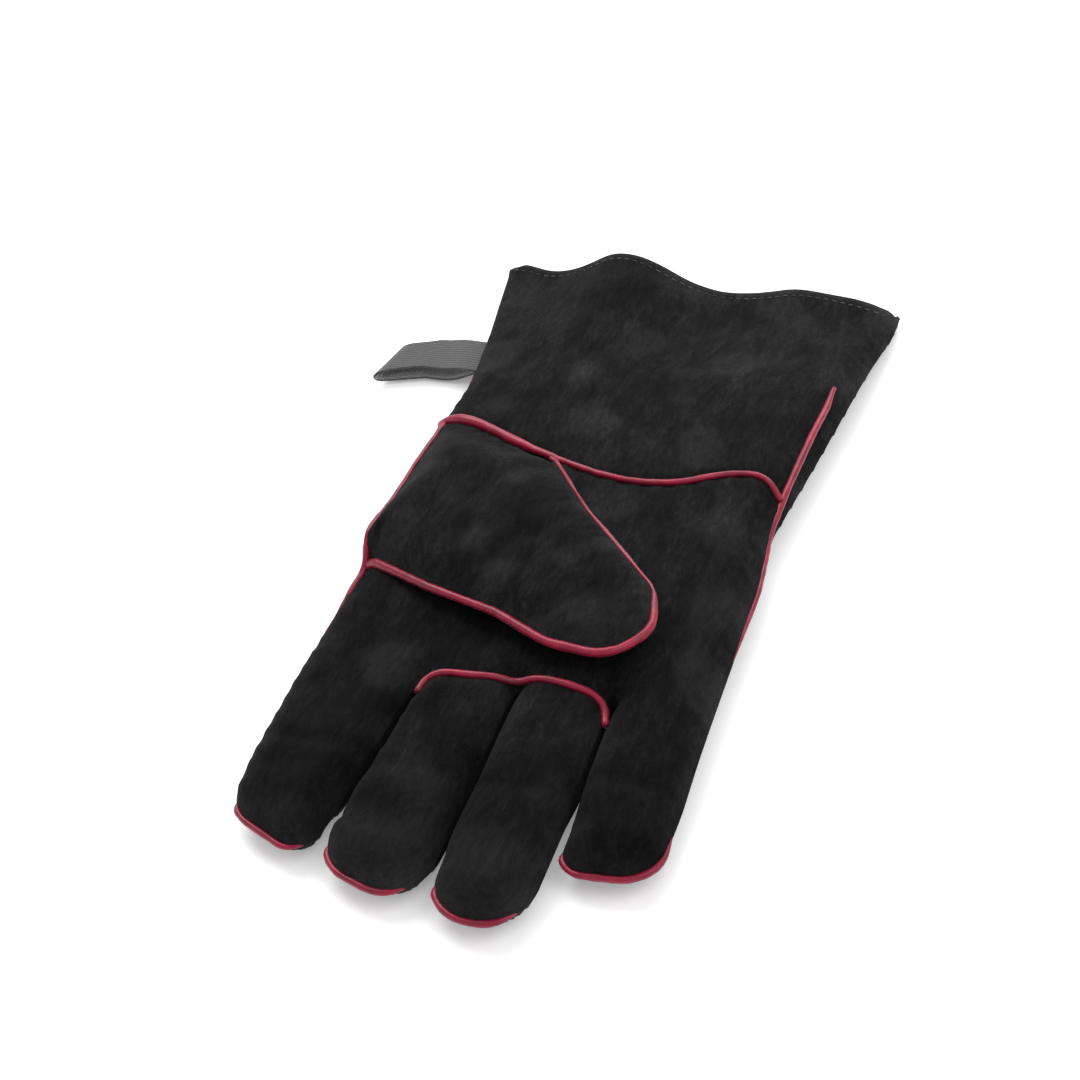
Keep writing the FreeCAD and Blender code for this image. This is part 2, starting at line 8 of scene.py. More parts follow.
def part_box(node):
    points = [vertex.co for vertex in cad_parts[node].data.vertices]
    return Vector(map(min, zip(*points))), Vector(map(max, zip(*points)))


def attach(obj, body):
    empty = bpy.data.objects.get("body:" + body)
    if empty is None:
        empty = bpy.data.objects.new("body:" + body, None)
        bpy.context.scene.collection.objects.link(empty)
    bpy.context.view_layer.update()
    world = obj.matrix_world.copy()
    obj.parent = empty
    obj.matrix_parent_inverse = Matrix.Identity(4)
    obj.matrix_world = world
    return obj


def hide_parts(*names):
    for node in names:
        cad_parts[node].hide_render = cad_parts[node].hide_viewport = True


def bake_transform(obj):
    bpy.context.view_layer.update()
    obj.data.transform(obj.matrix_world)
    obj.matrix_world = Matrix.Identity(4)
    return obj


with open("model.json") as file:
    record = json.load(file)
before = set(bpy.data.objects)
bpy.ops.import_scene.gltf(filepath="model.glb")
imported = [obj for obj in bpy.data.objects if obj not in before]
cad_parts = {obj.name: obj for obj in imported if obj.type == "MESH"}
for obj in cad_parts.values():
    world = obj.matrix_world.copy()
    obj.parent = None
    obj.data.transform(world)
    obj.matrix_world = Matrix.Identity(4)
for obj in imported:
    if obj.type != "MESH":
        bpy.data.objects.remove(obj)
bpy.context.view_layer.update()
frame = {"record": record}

# ---------------------------------------------------------------- sizes, in millimetres
# The glove lies palm up: +Z out of the palm, fingers to -Y, cuff to +Y, thumb on the -X side.
MM = 0.001
GRID = 1.5
WAVE_COUNT = 10
UP = (0.0, 0.0, 1.0)


def node_box(node):
    """A CAD node's lowest and highest corners in millimetres."""
    low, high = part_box(node)
    return np.array(low) / MM, np.array(high) / MM


JOINTS = {joint["name"]: joint for joint in frame["record"]["behaviour"]["joints"]}


def joint_place(name):
    """A joint's position in millimetres."""
    return np.array(JOINTS[name]["pos_m"]) / MM


# From the CAD: the heights of the side seams, the palm and the thumb, the open edge and the folds.
SEAM = node_box("back_panel")[1][2]
THUMB_TOP = node_box("thumb_outer")[1][2]
CUFF_EDGE = node_box("cuff_front")[1][1]
ROOT_Y = joint_place("index_root_fold")[1]
FINGERS = ("index", "middle", "ring", "little")
MIDDLE_Y = {finger: joint_place(f"{finger}_middle_fold")[1] for finger in FINGERS}
# The thumb's root fold: a point on it, its direction and the level direction across it to the thumb.
FOLD_START = joint_place("thumb_root_fold")
FOLD_AXIS = np.array(JOINTS["thumb_root_fold"]["axis"])
FOLD_ACROSS = np.array([-FOLD_AXIS[1], FOLD_AXIS[0], 0.0])
# Where the hand's panels end and a finger's root begins, and where its tip begins.
HAND_BORDER = ROOT_Y + 10.0
FINGER_BORDER = ROOT_Y - 21.0
# Thicknesses, steps along lines, and the hem's stitches.
LEATHER = 1.5
LINING = 0.9
LINING_INSET = LEATHER + 0.25
STRIP_LEATHER = 0.9
TAPE_THICKNESS = 1.0
STRIP_LEVELS = 5
WELT_STEP = 1.1
SEAM_STEP = 1.2
HEM_LINE = CUFF_EDGE - 4.6
STITCH_PITCH = 1.7
STITCH_RADIUS = 0.3
# A stitch's rings: (share of its length, share of its radius).
STITCH_PROFILE = ((-0.06, 0.35), (0.06, 0.85), (0.3, 1.0), (0.7, 1.0), (0.94, 0.85), (1.06, 0.35))
# The badge's heat waves: (x from its middle, share of its length), and their swing from side to
# side, how far they turn from the middle to an end, their margin and their half width.
BADGE_WAVES = ((-10.5, 0.78), (0.0, 1.0), (10.5, 0.78))
BADGE_SWING = 2.9
BADGE_TURN = 5.2
BADGE_MARGIN = 3.0
BADGE_HALF_WIDTH = 2.5

# The outline of the hand, cuff and fingers: (x, y, corner radius), from the cuff's left end
# down the thumb's side, round each finger and up the little finger's side.
OUTLINE = [
    (-83.5, CUFF_EDGE, 0), (-76.0, 112, 60), (-71.4, 72, 40), (-72.8, 48, 30), (-73.0, 0, 60),
    (-71.0, -42, 60), (-72.2, -95, 60), (-72.9, -127, 40), (-71.0, -153, 15), (-38.6, -167, 9),
    (-33.4, -127, 60), (-28.4, -88.0, 0.8), (-26.6, -88.0, 0.8), (-31.0, -131, 60),
    (-35.8, -166, 16), (3.0, -178, 17), (3.9, -131, 60), (4.6, -87.4, 0.8), (6.4, -87.4, 0.8),
    (5.5, -131, 60), (4.6, -177.5, 16), (37.2, -177, 17), (37.9, -131, 60), (37.8, -87.6, 0.8),
    (39.6, -87.6, 0.8), (39.6, -122, 60), (40.0, -153.5, 8), (70.8, -151, 14), (71.6, -122, 60),
    (71.2, -89, 60), (71.0, -21, 80), (69.2, 6, 40), (75.6, 52, 60), (82.0, 102, 100),
    (86.3, 140, 60), (86.5, CUFF_EDGE, 0),
]
# The slits between the fingers: x at their upper ends, x per millimetre of y, and their lower ends.
SLIT_TOP = -88.0
SLITS = ((-27.5, 0.118, -150.0), (5.5, 0.022, -163.0), (38.7, 0.0, -140.0))

# The thumb with the panel over its root: (x, y, height of its seam, corner radius).
THUMB_OUTLINE = [
    (-73.0, 43, 11, 4), (-73.2, -2, 11, 60), (-71.5, -40, 13, 5), (-62, -43, 20, 10),
    (-35, -57, 25.5, 25), (-8, -65.5, 27, 30), (14, -76.5, 27.5, 20), (36, -79, 27.5, 14),
    (46.5, -64, 27.5, 13), (41.5, -46, 28, 14), (6.5, -10, 27, 60), (-17, 22.5, 20.5, 4),
    (-46, 35, 19.0, 40),
]
# The seams that cross the palm side.
WRIST_SEAM = [
    (-71.2, 43.7), (-60, 41), (-46, 36.5), (-19, 26), (5, 19), (20, 18.3), (33, 20), (45, 26.5),
    (54, 29.5), (62, 28.0), (68.7, 21.5),
]
INSET_SEAM = [
    (-25.6, -98), (-24.5, -92.5), (-19, -89.5), (-5, -88), (11, -85), (28, -86.5), (36, -89.5),
    (39.2, -97),
]
# The height of the cuff's open edge across the glove, and the steps over which it is averaged.
MOUTH_X = (-90, -80, -70, -61, -46, -31, -14, 2, 18, 34, 48, 66, 86, 92)
MOUTH_Z = (12.5, 12.5, 10, 9.5, 17, 23.5, 17, 9, 5.8, 8.5, 13.2, 9.5, 4.0, 3.5)
MOUTH_SOFTENING = (-9, -6, -3, 0, 3, 6, 9)
# How much of the palm side's wave along the open edge the back has.
BACK_WAVE = 0.6

# Heights: the palm side's middle, the back over the table, the lowest seam and the thumb's underside.
PALM_CROWN = 19.3
BACK_LEVEL = 0.40
LOWEST_SEAM = 2.4
THUMB_UNDERSIDE = 21.2

# How far inside the silhouette the two long side welts lie: (y, distance) from the fingers up.
THUMB_SIDE_SHIFT = (
    (-78, 0), (-60, 1.5), (-45, 4.0), (-36, 4.6), (-20, 3.8), (-5, 3.0), (12, 3.0), (30, 4.2),
    (44, 4.8), (52, 0.8), (58, 0),
)
LITTLE_SIDE_SHIFT = ((-25, 0), (-5, 0.8), (15, 2.0), (30, 3.2), (50, 4.4), (75, 5.6), (88, 6.2))
# How thick they show: (y, radius).
THUMB_SIDE_RADIUS = (
    (-84, 0.55), (-70, 1.15), (-38, 1.3), (-5, 1.0), (18, 1.0), (44, 1.3), (52, 0.75),
)
LITTLE_SIDE_RADIUS = ((-60, 0.55), (-30, 1.0), (0, 1.2), (30, 1.35), (76, 1.35), (87, 0.9))
# The fingertips' welts: the y above which each tucks into its seam on the thumb's side and on
# the other side, and the x past which it thins.
TIP_SHOWS = {"index": (-151.0, -151.0, -48.0), "middle": (-161.0, -161.0, -9.5),
             "ring": (-168.0, -168.0, 27.0), "little": (-147.0, -130.0, 90.0)}
TUCKED_RADIUS = 0.5
# Where the thumb's welt starts on the side seam and ends at the wrist seam.
THUMB_WELT_START = (-65.5, -42)
THUMB_WELT_END = (-19, 23)
# The thumb's welt: (x, radius) up to its tip, and (y, radius) past it, where the thumb's fullness
# hides it in places.
THUMB_WELT_TO_TIP = ((-68, 2.0), (-50, 1.7), (-20, 1.45), (20, 1.65), (46, 1.5))
THUMB_WELT_PAST_TIP = (
    (-64, 1.5), (-53, 1.3), (-46, 0.6), (-37, 0.6), (-32, 0.95), (-18, 0.95), (-12, 0.6), (2, 0.6),
    (8, 0.9), (22, 0.9),
)
# The hang loop's tape seen from its open side: (x, z), out along its top and back underneath.
LOOP_LINE = [
    (-73.5, 8.6), (-82, 8.9), (-92, 8.2), (-103, 8.0), (-112, 7.6), (-115.3, 5.4), (-113.5, 2.7),
    (-105, 1.6), (-94, 1.7), (-84, 2.6), (-76.5, 5.6), (-73.5, 7.2),
]
# The tape's share of the CAD loop's width, and how its end skews, bends to one side and ripples.
LOOP_WIDTH_SHARE = 0.88
LOOP_SKEW = 5.0
LOOP_BEND = -6.5
LOOP_RIPPLE = 0.35

CAMERA_AZIMUTH = 24.5
CAMERA_ELEVATION = 40.3
CAMERA_ROLL = -9.0
CAMERA_DISTANCE = 696.0
CAMERA_AIM = (-13.0, -10.0, 10.0)
CAMERA_LENS = 64.0
CAMERA_SENSOR = 36
# The soft lights: (place in metres, diameter in metres, power in watts).
LIGHTS = (((-0.7, 0.6, 1.1), 1.0, 13.0), ((0.9, -0.1, 1.2), 1.2, 7.0), ((0.0, 1.1, 0.8), 0.8, 7.0))


def metres(x, y, z):
    """A point in metres."""
    return (x * MM, y * MM, z * MM)


def unit(vectors):
    """Vectors scaled to length one."""
    return vectors / np.maximum(np.linalg.norm(vectors, axis=1), 1e-9)[:, None]


def smooth(value):
    """A smooth step from 0 to 1."""
    value = np.clip(value, 0.0, 1.0)
    return value * value * (3 - 2 * value)


def bell(distance, width):
    """A smooth hill: 1 at no distance, falling away over a width."""
    return np.exp(-(distance / width) ** 2)


def read_off(table, place):
    """A value read off a table of (place, value)."""
    places, values = zip(*table)
    return np.interp(place, places, values)


def waves(x, y, size, seed):
    """A soft random field from about -1 to 1: a sum of plane waves about size millimetres long."""
    rng = np.random.default_rng(seed)
    total = np.zeros_like(np.asarray(x, float))
    for _ in range(WAVE_COUNT):
        angle = rng.uniform(0, 2 * math.pi)
        length = size * rng.uniform(0.7, 1.6)
        phase = rng.uniform(0, 2 * math.pi)
        total += np.sin(2 * math.pi * (x * math.cos(angle) + y * math.sin(angle)) / length + phase)
    return total / (0.9 * WAVE_COUNT ** 0.5 * 1.6)


def rounded(corners, closed):
    """Points along a polyline with its corners rounded; each corner's last number is its radius."""
    count = len(corners)
    points = []
    for here, corner in enumerate(corners):
        place = np.array(corner[:-1], float)
        radius = corner[-1]
        if radius == 0 or (not closed and here in (0, count - 1)):
            points.append(place)
            continue
        before = np.array(corners[here - 1][:-1], float) - place
        after = np.array(corners[(here + 1) % count][:-1], float) - place
        reach_before, reach_after = np.linalg.norm(before[:2]), np.linalg.norm(after[:2])
        cosine = np.dot(before[:2], after[:2]) / (reach_before * reach_after)
        turn = math.pi - math.acos(np.clip(cosine, -1, 1))
        reach = min(radius * math.tan(turn / 2), 0.48 * reach_before, 0.48 * reach_after)
        start = place + before * reach / reach_before
        end = place + after * reach / reach_after
        steps = max(2, int(turn / math.radians(9)))
        for step in range(steps + 1):
            share = step / steps
            parts = np.array([(1 - share) ** 2, 2 * share * (1 - share) * math.cos(turn / 2), share ** 2])
            points.append((parts / parts.sum()) @ np.array([start, place, end]))
    return np.array(points)


def resample(points, step, closed=False):
    """Evenly spaced points along a polyline."""
    points = np.vstack([points, points[:1]]) if closed else points
    lengths = np.r_[0, np.cumsum(np.linalg.norm(np.diff(points, axis=0), axis=1))]
    places = np.linspace(0, lengths[-1], max(2, int(lengths[-1] / step)) + 1)
    return np.stack([np.interp(places, lengths, points[:, axis]) for axis in range(points.shape[1])], axis=1)


def spline(points, step):
    """A smooth curve through points, evenly spaced."""
    points = np.array(points, float)
    padded = np.vstack([2 * points[0] - points[1], points, 2 * points[-1] - points[-2]])
    curve = []
    for here in range(1, len(padded) - 2):
        a, b, c, d = padded[here - 1:here + 3]
        for share in np.linspace(0, 1, 12, endpoint=False):
            curve.append(0.5 * (2 * b + (c - a) * share + (2 * a - 5 * b + 4 * c - d) * share ** 2
                                + (3 * b - a - 3 * c + d) * share ** 3))
    curve.append(points[-1])
    return resample(np.array(curve), step)


def nearest(x, y, line, closed=False):
    """Each point's distance to a polyline and its nearest point on it."""
    line = np.vstack([line, line[:1]]) if closed else line
    start, along = line[:-1, :2], np.diff(line[:, :2], axis=0)
    squared = np.maximum((along ** 2).sum(1), 1e-9)
    best = np.full(np.size(x), 1e9)
    place = np.zeros((np.size(x), 2))
    flat = np.stack([np.ravel(x), np.ravel(y)], axis=1)
    for number in range(len(start)):
        share = np.clip(((flat - start[number]) @ along[number]) / squared[number], 0, 1)
        spot = start[number] + share[:, None] * along[number]
        distance = np.hypot(*(flat - spot).T)
        closer = distance < best
        best[closer] = distance[closer]
        place[closer] = spot[closer]
    return best, place


def inside(x, y, polygon):
    """Whether each point is inside a closed polygon."""
    result = np.zeros(np.shape(x), bool)
    for (x1, y1), (x2, y2) in zip(polygon[:, :2], np.roll(polygon[:, :2], -1, axis=0)):
        crosses = (y1 > y) != (y2 > y)
        if y1 != y2:
            result ^= crosses & (x < (x2 - x1) * (y - y1) / (y2 - y1) + x1)
    return result


QUAD_SIDES = ((0, 1), (1, 2), (2, 3), (3, 0))


def cell_edges(cells):
    """The directed edges of some quads."""
    return np.vstack([cells[:, [a, b]] for a, b in QUAD_SIDES])


def border_edges(cells):
    """The directed edges that only one cell has, and that cell's number."""
    edges = cell_edges(cells)
    owner = np.tile(np.arange(len(cells)), len(QUAD_SIDES))
    size = int(cells.max()) + 1
    single = ~np.isin(edges[:, 0] * size + edges[:, 1], edges[:, 1] * size + edges[:, 0])
    return edges[single], owner[single]


class Grid:
    """A square grid inside a closed outline, whose rim points lie on the outline."""

    def __init__(self, outline, seam_line, seam_closed, xs, ys):
        x, y = np.meshgrid(xs, ys, indexing="ij")
        within = inside(x, y, outline)
        whole = within[:-1, :-1] & within[1:, :-1] & within[1:, 1:] & within[:-1, 1:]
        number = np.arange(x.size).reshape(x.shape)
        corners = (number[:-1, :-1], number[1:, :-1], number[1:, 1:], number[:-1, 1:])
        self.cells = np.stack([corner[whole] for corner in corners], axis=1)
        covered = np.zeros(x.shape, int)
        wanted = np.zeros(x.shape, int)
        for di, dj in ((0, 0), (1, 0), (1, 1), (0, 1)):
            view = (slice(di, di + whole.shape[0]), slice(dj, dj + whole.shape[1]))
            covered[view] += whole
            wanted[view] += 1
        self.used = (covered > 0).ravel()
        self.rim = ((covered > 0) & (covered < wanted)).ravel()
        self.x, self.y = x.ravel().copy(), y.ravel().copy()
        self.last_row = self.used & (self.y > ys[-1] - 0.01)
        self.seam = (seam_line, seam_closed)
        self.snap()
        self.relax()

    def snap(self):
        """Moves the rim points onto the outline, and keeps the last row straight."""
        level = self.y[self.last_row]
        _, spots = nearest(self.x[self.rim], self.y[self.rim], *self.seam)
        self.x[self.rim], self.y[self.rim] = spots.T
        self.y[self.last_row] = level

    def relax(self):
        """Evens out the cells beside the rim, and slides rim points along the outline to match."""
        size = self.x.size
        edges = cell_edges(self.cells)
        edges = np.vstack([edges, edges[:, ::-1]])
        near_rim = self.rim.copy()
        for _ in range(2):
            touched = edges[near_rim[edges[:, 0]], 1]
            near_rim[touched] = True
        for _ in range(6):
            total = np.zeros((size, 2))
            count = np.zeros(size)
            np.add.at(total, edges[:, 0], np.stack([self.x, self.y], 1)[edges[:, 1]])
            np.add.at(count, edges[:, 0], 1)
            mean = total / np.maximum(count, 1)[:, None]
            moving = near_rim & self.used
            self.x[moving] += 0.5 * (mean[moving, 0] - self.x[moving])
            slack = moving & ~self.last_row
            self.y[slack] += 0.5 * (mean[slack, 1] - self.y[slack])
            self.snap()


def quad_normals(points, faces):
    """Each quad's normal, as long as twice its area."""
    return np.cross(points[faces[:, 2]] - points[faces[:, 0]], points[faces[:, 3]] - points[faces[:, 1]])


def normals_of(points, faces):
    """Unit normals at each point, averaged from the faces round it."""
    total = np.zeros_like(points)
    facing = quad_normals(points, faces)
    for corner in range(4):
        np.add.at(total, faces[:, corner], facing)
    return unit(total)


def link_mesh(name, points, faces, material):
    """A smooth-shaded piece from points in millimetres and faces."""
    mesh = bpy.data.meshes.new(name)
    mesh.from_pydata((np.asarray(points) * MM).tolist(), [], faces)
    mesh.polygons.foreach_set("use_smooth", [True] * len(mesh.polygons))
    mesh.materials.append(material)
    piece = bpy.data.objects.new(name, mesh)
    bpy.context.scene.collection.objects.link(piece)
    return piece


def shell(name, points, normals, faces, thickness, material, painted_sheen_and_wear=None):
    """A panel with real thickness: outer faces, inner faces and the strip round the edge between them."""
    used, flat = np.unique(faces, return_inverse=True)
    faces = flat.reshape(faces.shape)
    count = len(used)
    normal = normals[used]
    outer = points[used]
    both_sides = np.vstack([outer, outer - thickness * normal])
    border, _ = border_edges(faces)
    strip = np.stack([border[:, 1], border[:, 0], border[:, 0] + count, border[:, 1] + count], axis=1)
    everything = np.vstack([faces, faces[:, ::-1] + count, strip])
    piece = link_mesh(name, both_sides, everything.tolist(), material)
    corner_normals = np.vstack([normal, -normal])[everything.ravel()]
    strip_normals = unit(quad_normals(both_sides, strip))
    corner_normals[everything.size - strip.size:] = np.repeat(strip_normals, 4, axis=0)
    piece.data.normals_split_custom_set(corner_normals.tolist())
    if painted_sheen_and_wear is not None:
        layer = piece.data.attributes.new("painted_sheen_and_wear", "FLOAT", "POINT")
        layer.data.foreach_set("value", np.tile(painted_sheen_and_wear[used], 2).astype(np.float32))
    return piece


def tube_faces(base, rings, sides):
    """The quads round a tube whose rings of points follow one another from number base."""
    faces = []
    for ring in range(rings - 1):
        for side in range(sides):
            a = base + ring * sides + side
            b = base + ring * sides + (side + 1) % sides
            faces.append((a, b, b + sides, a + sides))
    return faces


# ---------------------------------------------------------------- materials
class Look:
    """A node material whose nodes are added one by one and end in its shader."""

    def __init__(self, name):
        self.made = bpy.data.materials.new(name)
        self.made.use_nodes = True
        self.tree = self.made.node_tree
        self.shader = self.tree.nodes["Principled BSDF"]
        self.where = self.add("ShaderNodeTexCoord").outputs["Object"]

    def feed(self, socket, value):
        """Sets a socket to a constant, or links it to another node's output."""
        if isinstance(value, bpy.types.NodeSocket):
            self.tree.links.new(value, socket)
        else:
            socket.default_value = value

    def add(self, kind, inputs=None, **settings):
        """A new node with its settings and inputs."""
        node = self.tree.nodes.new(kind)
        for key, value in settings.items():
            setattr(node, key, value)
        for key, value in (inputs or {}).items():
            self.feed(node.inputs[key], value)
        return node

    def noise(self, where, scale, detail, roughness, distortion=0.0):
        """A noise texture's value, at scale features per metre."""
        inputs = {"Vector": where, "Scale": scale, "Detail": detail, "Roughness": roughness,
                  "Distortion": distortion}
        return self.add("ShaderNodeTexNoise", inputs).outputs[0]

    def ramp(self, value, *stops):
        """A colour ramp over value; its two stops are (place, colour)."""
        node = self.add("ShaderNodeValToRGB", {"Fac": value})
        for element, (place, colour) in zip(node.color_ramp.elements, stops):
            element.position = place
            element.color = (*colour, 1.0)
        return node.outputs[0]

    def scalar(self, operation, first, second):
        """One scalar operation."""
        return self.add("ShaderNodeMath", {0: first, 1: second}, operation=operation).outputs[0]

    def scaled(self, value, factor, term):
        """value times factor plus term."""
        return self.scalar("ADD", self.scalar("MULTIPLY", value, factor), term)

    def mixed(self, factor, first, second, blend="MULTIPLY"):
        """A mix of two colours."""
        inputs = {0: factor, 6: first, 7: second}
        return self.add("ShaderNodeMix", inputs, data_type="RGBA", blend_type=blend).outputs[2]

    def finish(self, inputs, layers=()):
        """Sets the shader's inputs and its bumps, which are (height, strength, distance in metres)."""
        for key, value in inputs.items():
            self.feed(self.shader.inputs[key], value)
        bump = {}
        for height, strength, distance in layers:
            bump.update({"Height": height, "Strength": strength, "Distance": distance})
            bump["Normal"] = self.add("ShaderNodeBump", bump).outputs[0]
        if bump:
            self.feed(self.shader.inputs["Normal"], bump["Normal"])
        return self.made


def grey(level):
    """A colour with its three parts equal."""
    return (level, level, level)


def suede_material():
    """Charcoal split leather: a mottled nap, brushed lighter, with painted shade darkening it towards the
    fingers, and lighter at its edges from painted sheen mixed with wear.
    """
    look = Look("charcoal_suede")
    mapping = {"Vector": look.where, "Rotation": (0.2, 0.1, 0.5), "Scale": (1.0, 0.35, 1.0)}
    brushed = look.add("ShaderNodeMapping", mapping).outputs[0]
    large = look.noise(look.where, 34, 4, 0.6, 0.4)
    cloud = look.noise(brushed, 150, 5, 0.7, 0.6)
    nap = look.noise(brushed, 620, 4, 0.7, 0.3)
    fuzz = look.noise(look.where, 2600, 3, 0.7)
    base = look.ramp(large, (0.30, (0.0022, 0.0022, 0.0024)), (0.70, (0.0058, 0.0055, 0.0057)))
    patches = look.ramp(cloud, (0.36, grey(0.35)), (0.68, (1.95, 1.91, 1.90)))
    fibres = look.ramp(nap, (0.32, grey(0.30)), (0.70, (2.2, 2.18, 2.16)))
    specks = look.ramp(fuzz, (0.35, grey(0.5)), (0.70, grey(1.8)))
    # Painted shade and light: the colour is multiplied down towards the fingers and up towards the cuff,
    # standing in for how light falls along the glove.
    up_glove = look.add("ShaderNodeSeparateXYZ", {"Vector": look.where}).outputs["Y"]
    fingers_to_cuff = {"Value": up_glove, "From Min": -0.17, "From Max": 0.11, "To Min": 0.55, "To Max": 1.3}
    painted_shade_gradient = look.add("ShaderNodeMapRange", fingers_to_cuff).outputs[0]
    colour = base
    for share, layer in ((0.85, patches), (0.85, fibres), (0.8, specks), (1.0, painted_shade_gradient)):
        colour = look.mixed(share, colour, layer)
    # The lighter mark: painted sheen at the edges and tips, mixed with wear in patches, blended towards a
    # lighter grey.
    painted_sheen_and_worn = look.add("ShaderNodeAttribute", attribute_name="painted_sheen_and_wear").outputs["Fac"]
    broken = look.scalar("MULTIPLY", painted_sheen_and_worn, look.scaled(nap, 1.2, 0.1))
    colour = look.mixed(broken, colour, (0.044, 0.042, 0.043, 1.0), "MIX")
    return look.finish({
        "Base Color": colour,
        "Roughness": look.scaled(nap, 0.16, 0.80),
        "Specular IOR Level": 0.07,
        "Sheen Weight": 0.022,
        "Sheen Roughness": 0.45,
        "Sheen Tint": (0.75, 0.73, 0.76, 1),
    }, [(cloud, 0.5, 0.0011), (nap, 0.8, 0.0006), (fuzz, 0.6, 0.0002)])


def welt_material():
    """Crimson piping: smooth coated cloth with a fine grain, and painted shade darkening its hollows."""
    look = Look("red_welt")
    soft = look.noise(look.where, 120, 4, 0.6)
    fine = look.noise(look.where, 1500, 3, 0.6)
    # Painted shade: the colour darkens where the soft noise is low, which is where the bump sinks into
    # hollows.
    base = look.ramp(soft, (0.3, (0.13, 0.0008, 0.012)), (0.7, (0.30, 0.0020, 0.032)))
    grain = look.ramp(fine, (0.3, grey(0.7)), (0.7, grey(1.25)))
    return look.finish({
        "Base Color": look.mixed(0.5, base, grain),
        "Roughness": look.scaled(fine, 0.2, 0.24),
        "Specular IOR Level": 0.35,
        "Sheen Weight": 0.05,
    }, [(soft, 0.3, 0.0006), (fine, 0.35, 0.00012)])


def fleece_material():
    """Brushed grey cotton fleece."""
    look = Look("cotton_lining")
    tufts = look.noise(look.where, 420, 4, 0.7, 0.8)
    cells = {"Vector": look.where, "Scale": 900.0}
    loops = look.add("ShaderNodeTexVoronoi", cells, feature="F1").outputs[0]
    return look.finish({
        "Base Color": look.ramp(tufts, (0.3, (0.15, 0.145, 0.14)), (0.7, (0.34, 0.33, 0.32))),
        "Roughness": look.scaled(tufts, 0.1, 0.88),
        "Sheen Weight": 0.4,
    }, [(tufts, 0.6, 0.0010), (loops, 0.4, 0.0004)])


def woven_material(name, dark, light, pitch, rough=0.7, sheen=0.2, direction="X"):
    """Cloth with crossing threads, pitch threads per metre."""
    look = Look(name)
    across = {"X": "Y", "Y": "X"}[direction]
    threads = []
    for scale, bands in ((pitch, direction), (pitch * 0.8, across)):
        inputs = {"Vector": look.where, "Scale": scale, "Distortion": 0.6, "Detail": 1.0, "Detail Scale": 2.0}
        threads.append(look.add("ShaderNodeTexWave", inputs, bands_direction=bands).outputs["Fac"])
    weave = look.scalar("MULTIPLY", *threads)
    slub = look.noise(look.where, 350, 3, 0.6)
    colour = look.ramp(weave, (0.05, dark), (0.8, light))
    uneven = look.ramp(slub, (0.3, grey(0.7)), (0.7, grey(1.3)))
    return look.finish({
        "Base Color": look.mixed(0.5, colour, uneven),
        "Roughness": look.scaled(weave, 0.15, rough - 0.1),
        "Sheen Weight": sheen,
    }, [(weave, 0.8, 0.00035), (slub, 0.3, 0.0003)])


SUEDE = suede_material()
WELT = welt_material()
FLEECE = fleece_material()
TAPE = woven_material("loop_tape", (0.016, 0.016, 0.017), (0.044, 0.044, 0.046), 260)
TAPE_INSIDE = woven_material("loop_tape_inside", (0.20, 0.20, 0.205), (0.42, 0.42, 0.43), 260)
THREAD = woven_material("dark_thread", (0.008, 0.008, 0.009), (0.034, 0.034, 0.036), 500)
SATIN = woven_material("embroidery", (0.26, 0.003, 0.012), (0.62, 0.014, 0.040), 330, 0.5, 0.35, "Y")

# ---------------------------------------------------------------- the hand, cuff and fingers
outline = rounded(OUTLINE, closed=False)
xs = np.arange(-90.0, 91.0, GRID)
row_count = int((CUFF_EDGE + 181.0) / GRID)
ys = CUFF_EDGE - GRID * np.arange(row_count, -1, -1)
past_mouth = np.array([0.0, 1.0])
open_outline = np.vstack([outline[:1] + past_mouth, outline, outline[-1:] + past_mouth])
glove = Grid(open_outline, outline, False, xs, ys)
plan = (glove.x, glove.y)


def slit_x(slit, y):
    """The x of a slit between two fingers at a height up the glove."""
    top, slope, _ = slit
    return top + slope * np.minimum(y - SLIT_TOP, 0.0)


def on_slit(points):
    """Whether each point of the outline is on a side of a slit."""
    found = np.zeros(len(points), bool)
    for slit in SLITS:
        x, y = points[:, 0], points[:, 1]
        found |= (np.abs(x - slit_x(slit, y)) < 4.5) & (y < -80) & (y > slit[2])
    return found


fine_outline = resample(outline, 1.0)
slit_part = on_slit(fine_outline)


def distance_to(points, x, y):
    """Each point's distance to the nearest of a cloud of outline points."""
    best = np.full(np.size(x), 1e9)
    for px, py in points:
        best = np.minimum(best, (x - px) ** 2 + (y - py) ** 2)
    return np.sqrt(best)


edge_distance = distance_to(fine_outline[~slit_part], *plan)
slit_distance = distance_to(fine_outline[slit_part], *plan)
edge_distance[glove.rim & (edge_distance < 1.0)] = 0.0
slit_distance[glove.rim & (slit_distance < 1.0)] = 0.0
either = np.minimum(edge_distance, slit_distance)

wrist_line = spline(WRIST_SEAM, SEAM_STEP)
inset_line = spline(INSET_SEAM, SEAM_STEP)
wrist_distance, _ = nearest(*plan, wrist_line)
inset_distance, _ = nearest(*plan, inset_line)


def profile(distance, radius, power):
    """How far a padded panel has risen at a distance from its seam."""
    share = np.clip(distance / radius, 0, 1)
    return (1 - (1 - share) ** 2) ** power


def middle_fold(x, y):
    """The y of the middle fold of the finger at x."""
    edges = [slit_x(slit, y) for slit in SLITS]
    folds = np.full(np.shape(x), MIDDLE_Y["little"], float)
    for finger, edge in zip(("ring", "middle", "index"), edges[::-1]):
        folds = np.where(x < edge, MIDDLE_Y[finger], folds)
    return folds


def seam_height(x, y):
    """The height of the side seams: level along the hand, and its own on each side of the cuff."""
    mouth = smooth((y - 95) / 65)
    side = np.where(x < 0, 10.5, 3.8)
    low = SEAM - 1.6 * smooth((-100 - y) / 30)
    return low * (1 - mouth) + side * mouth


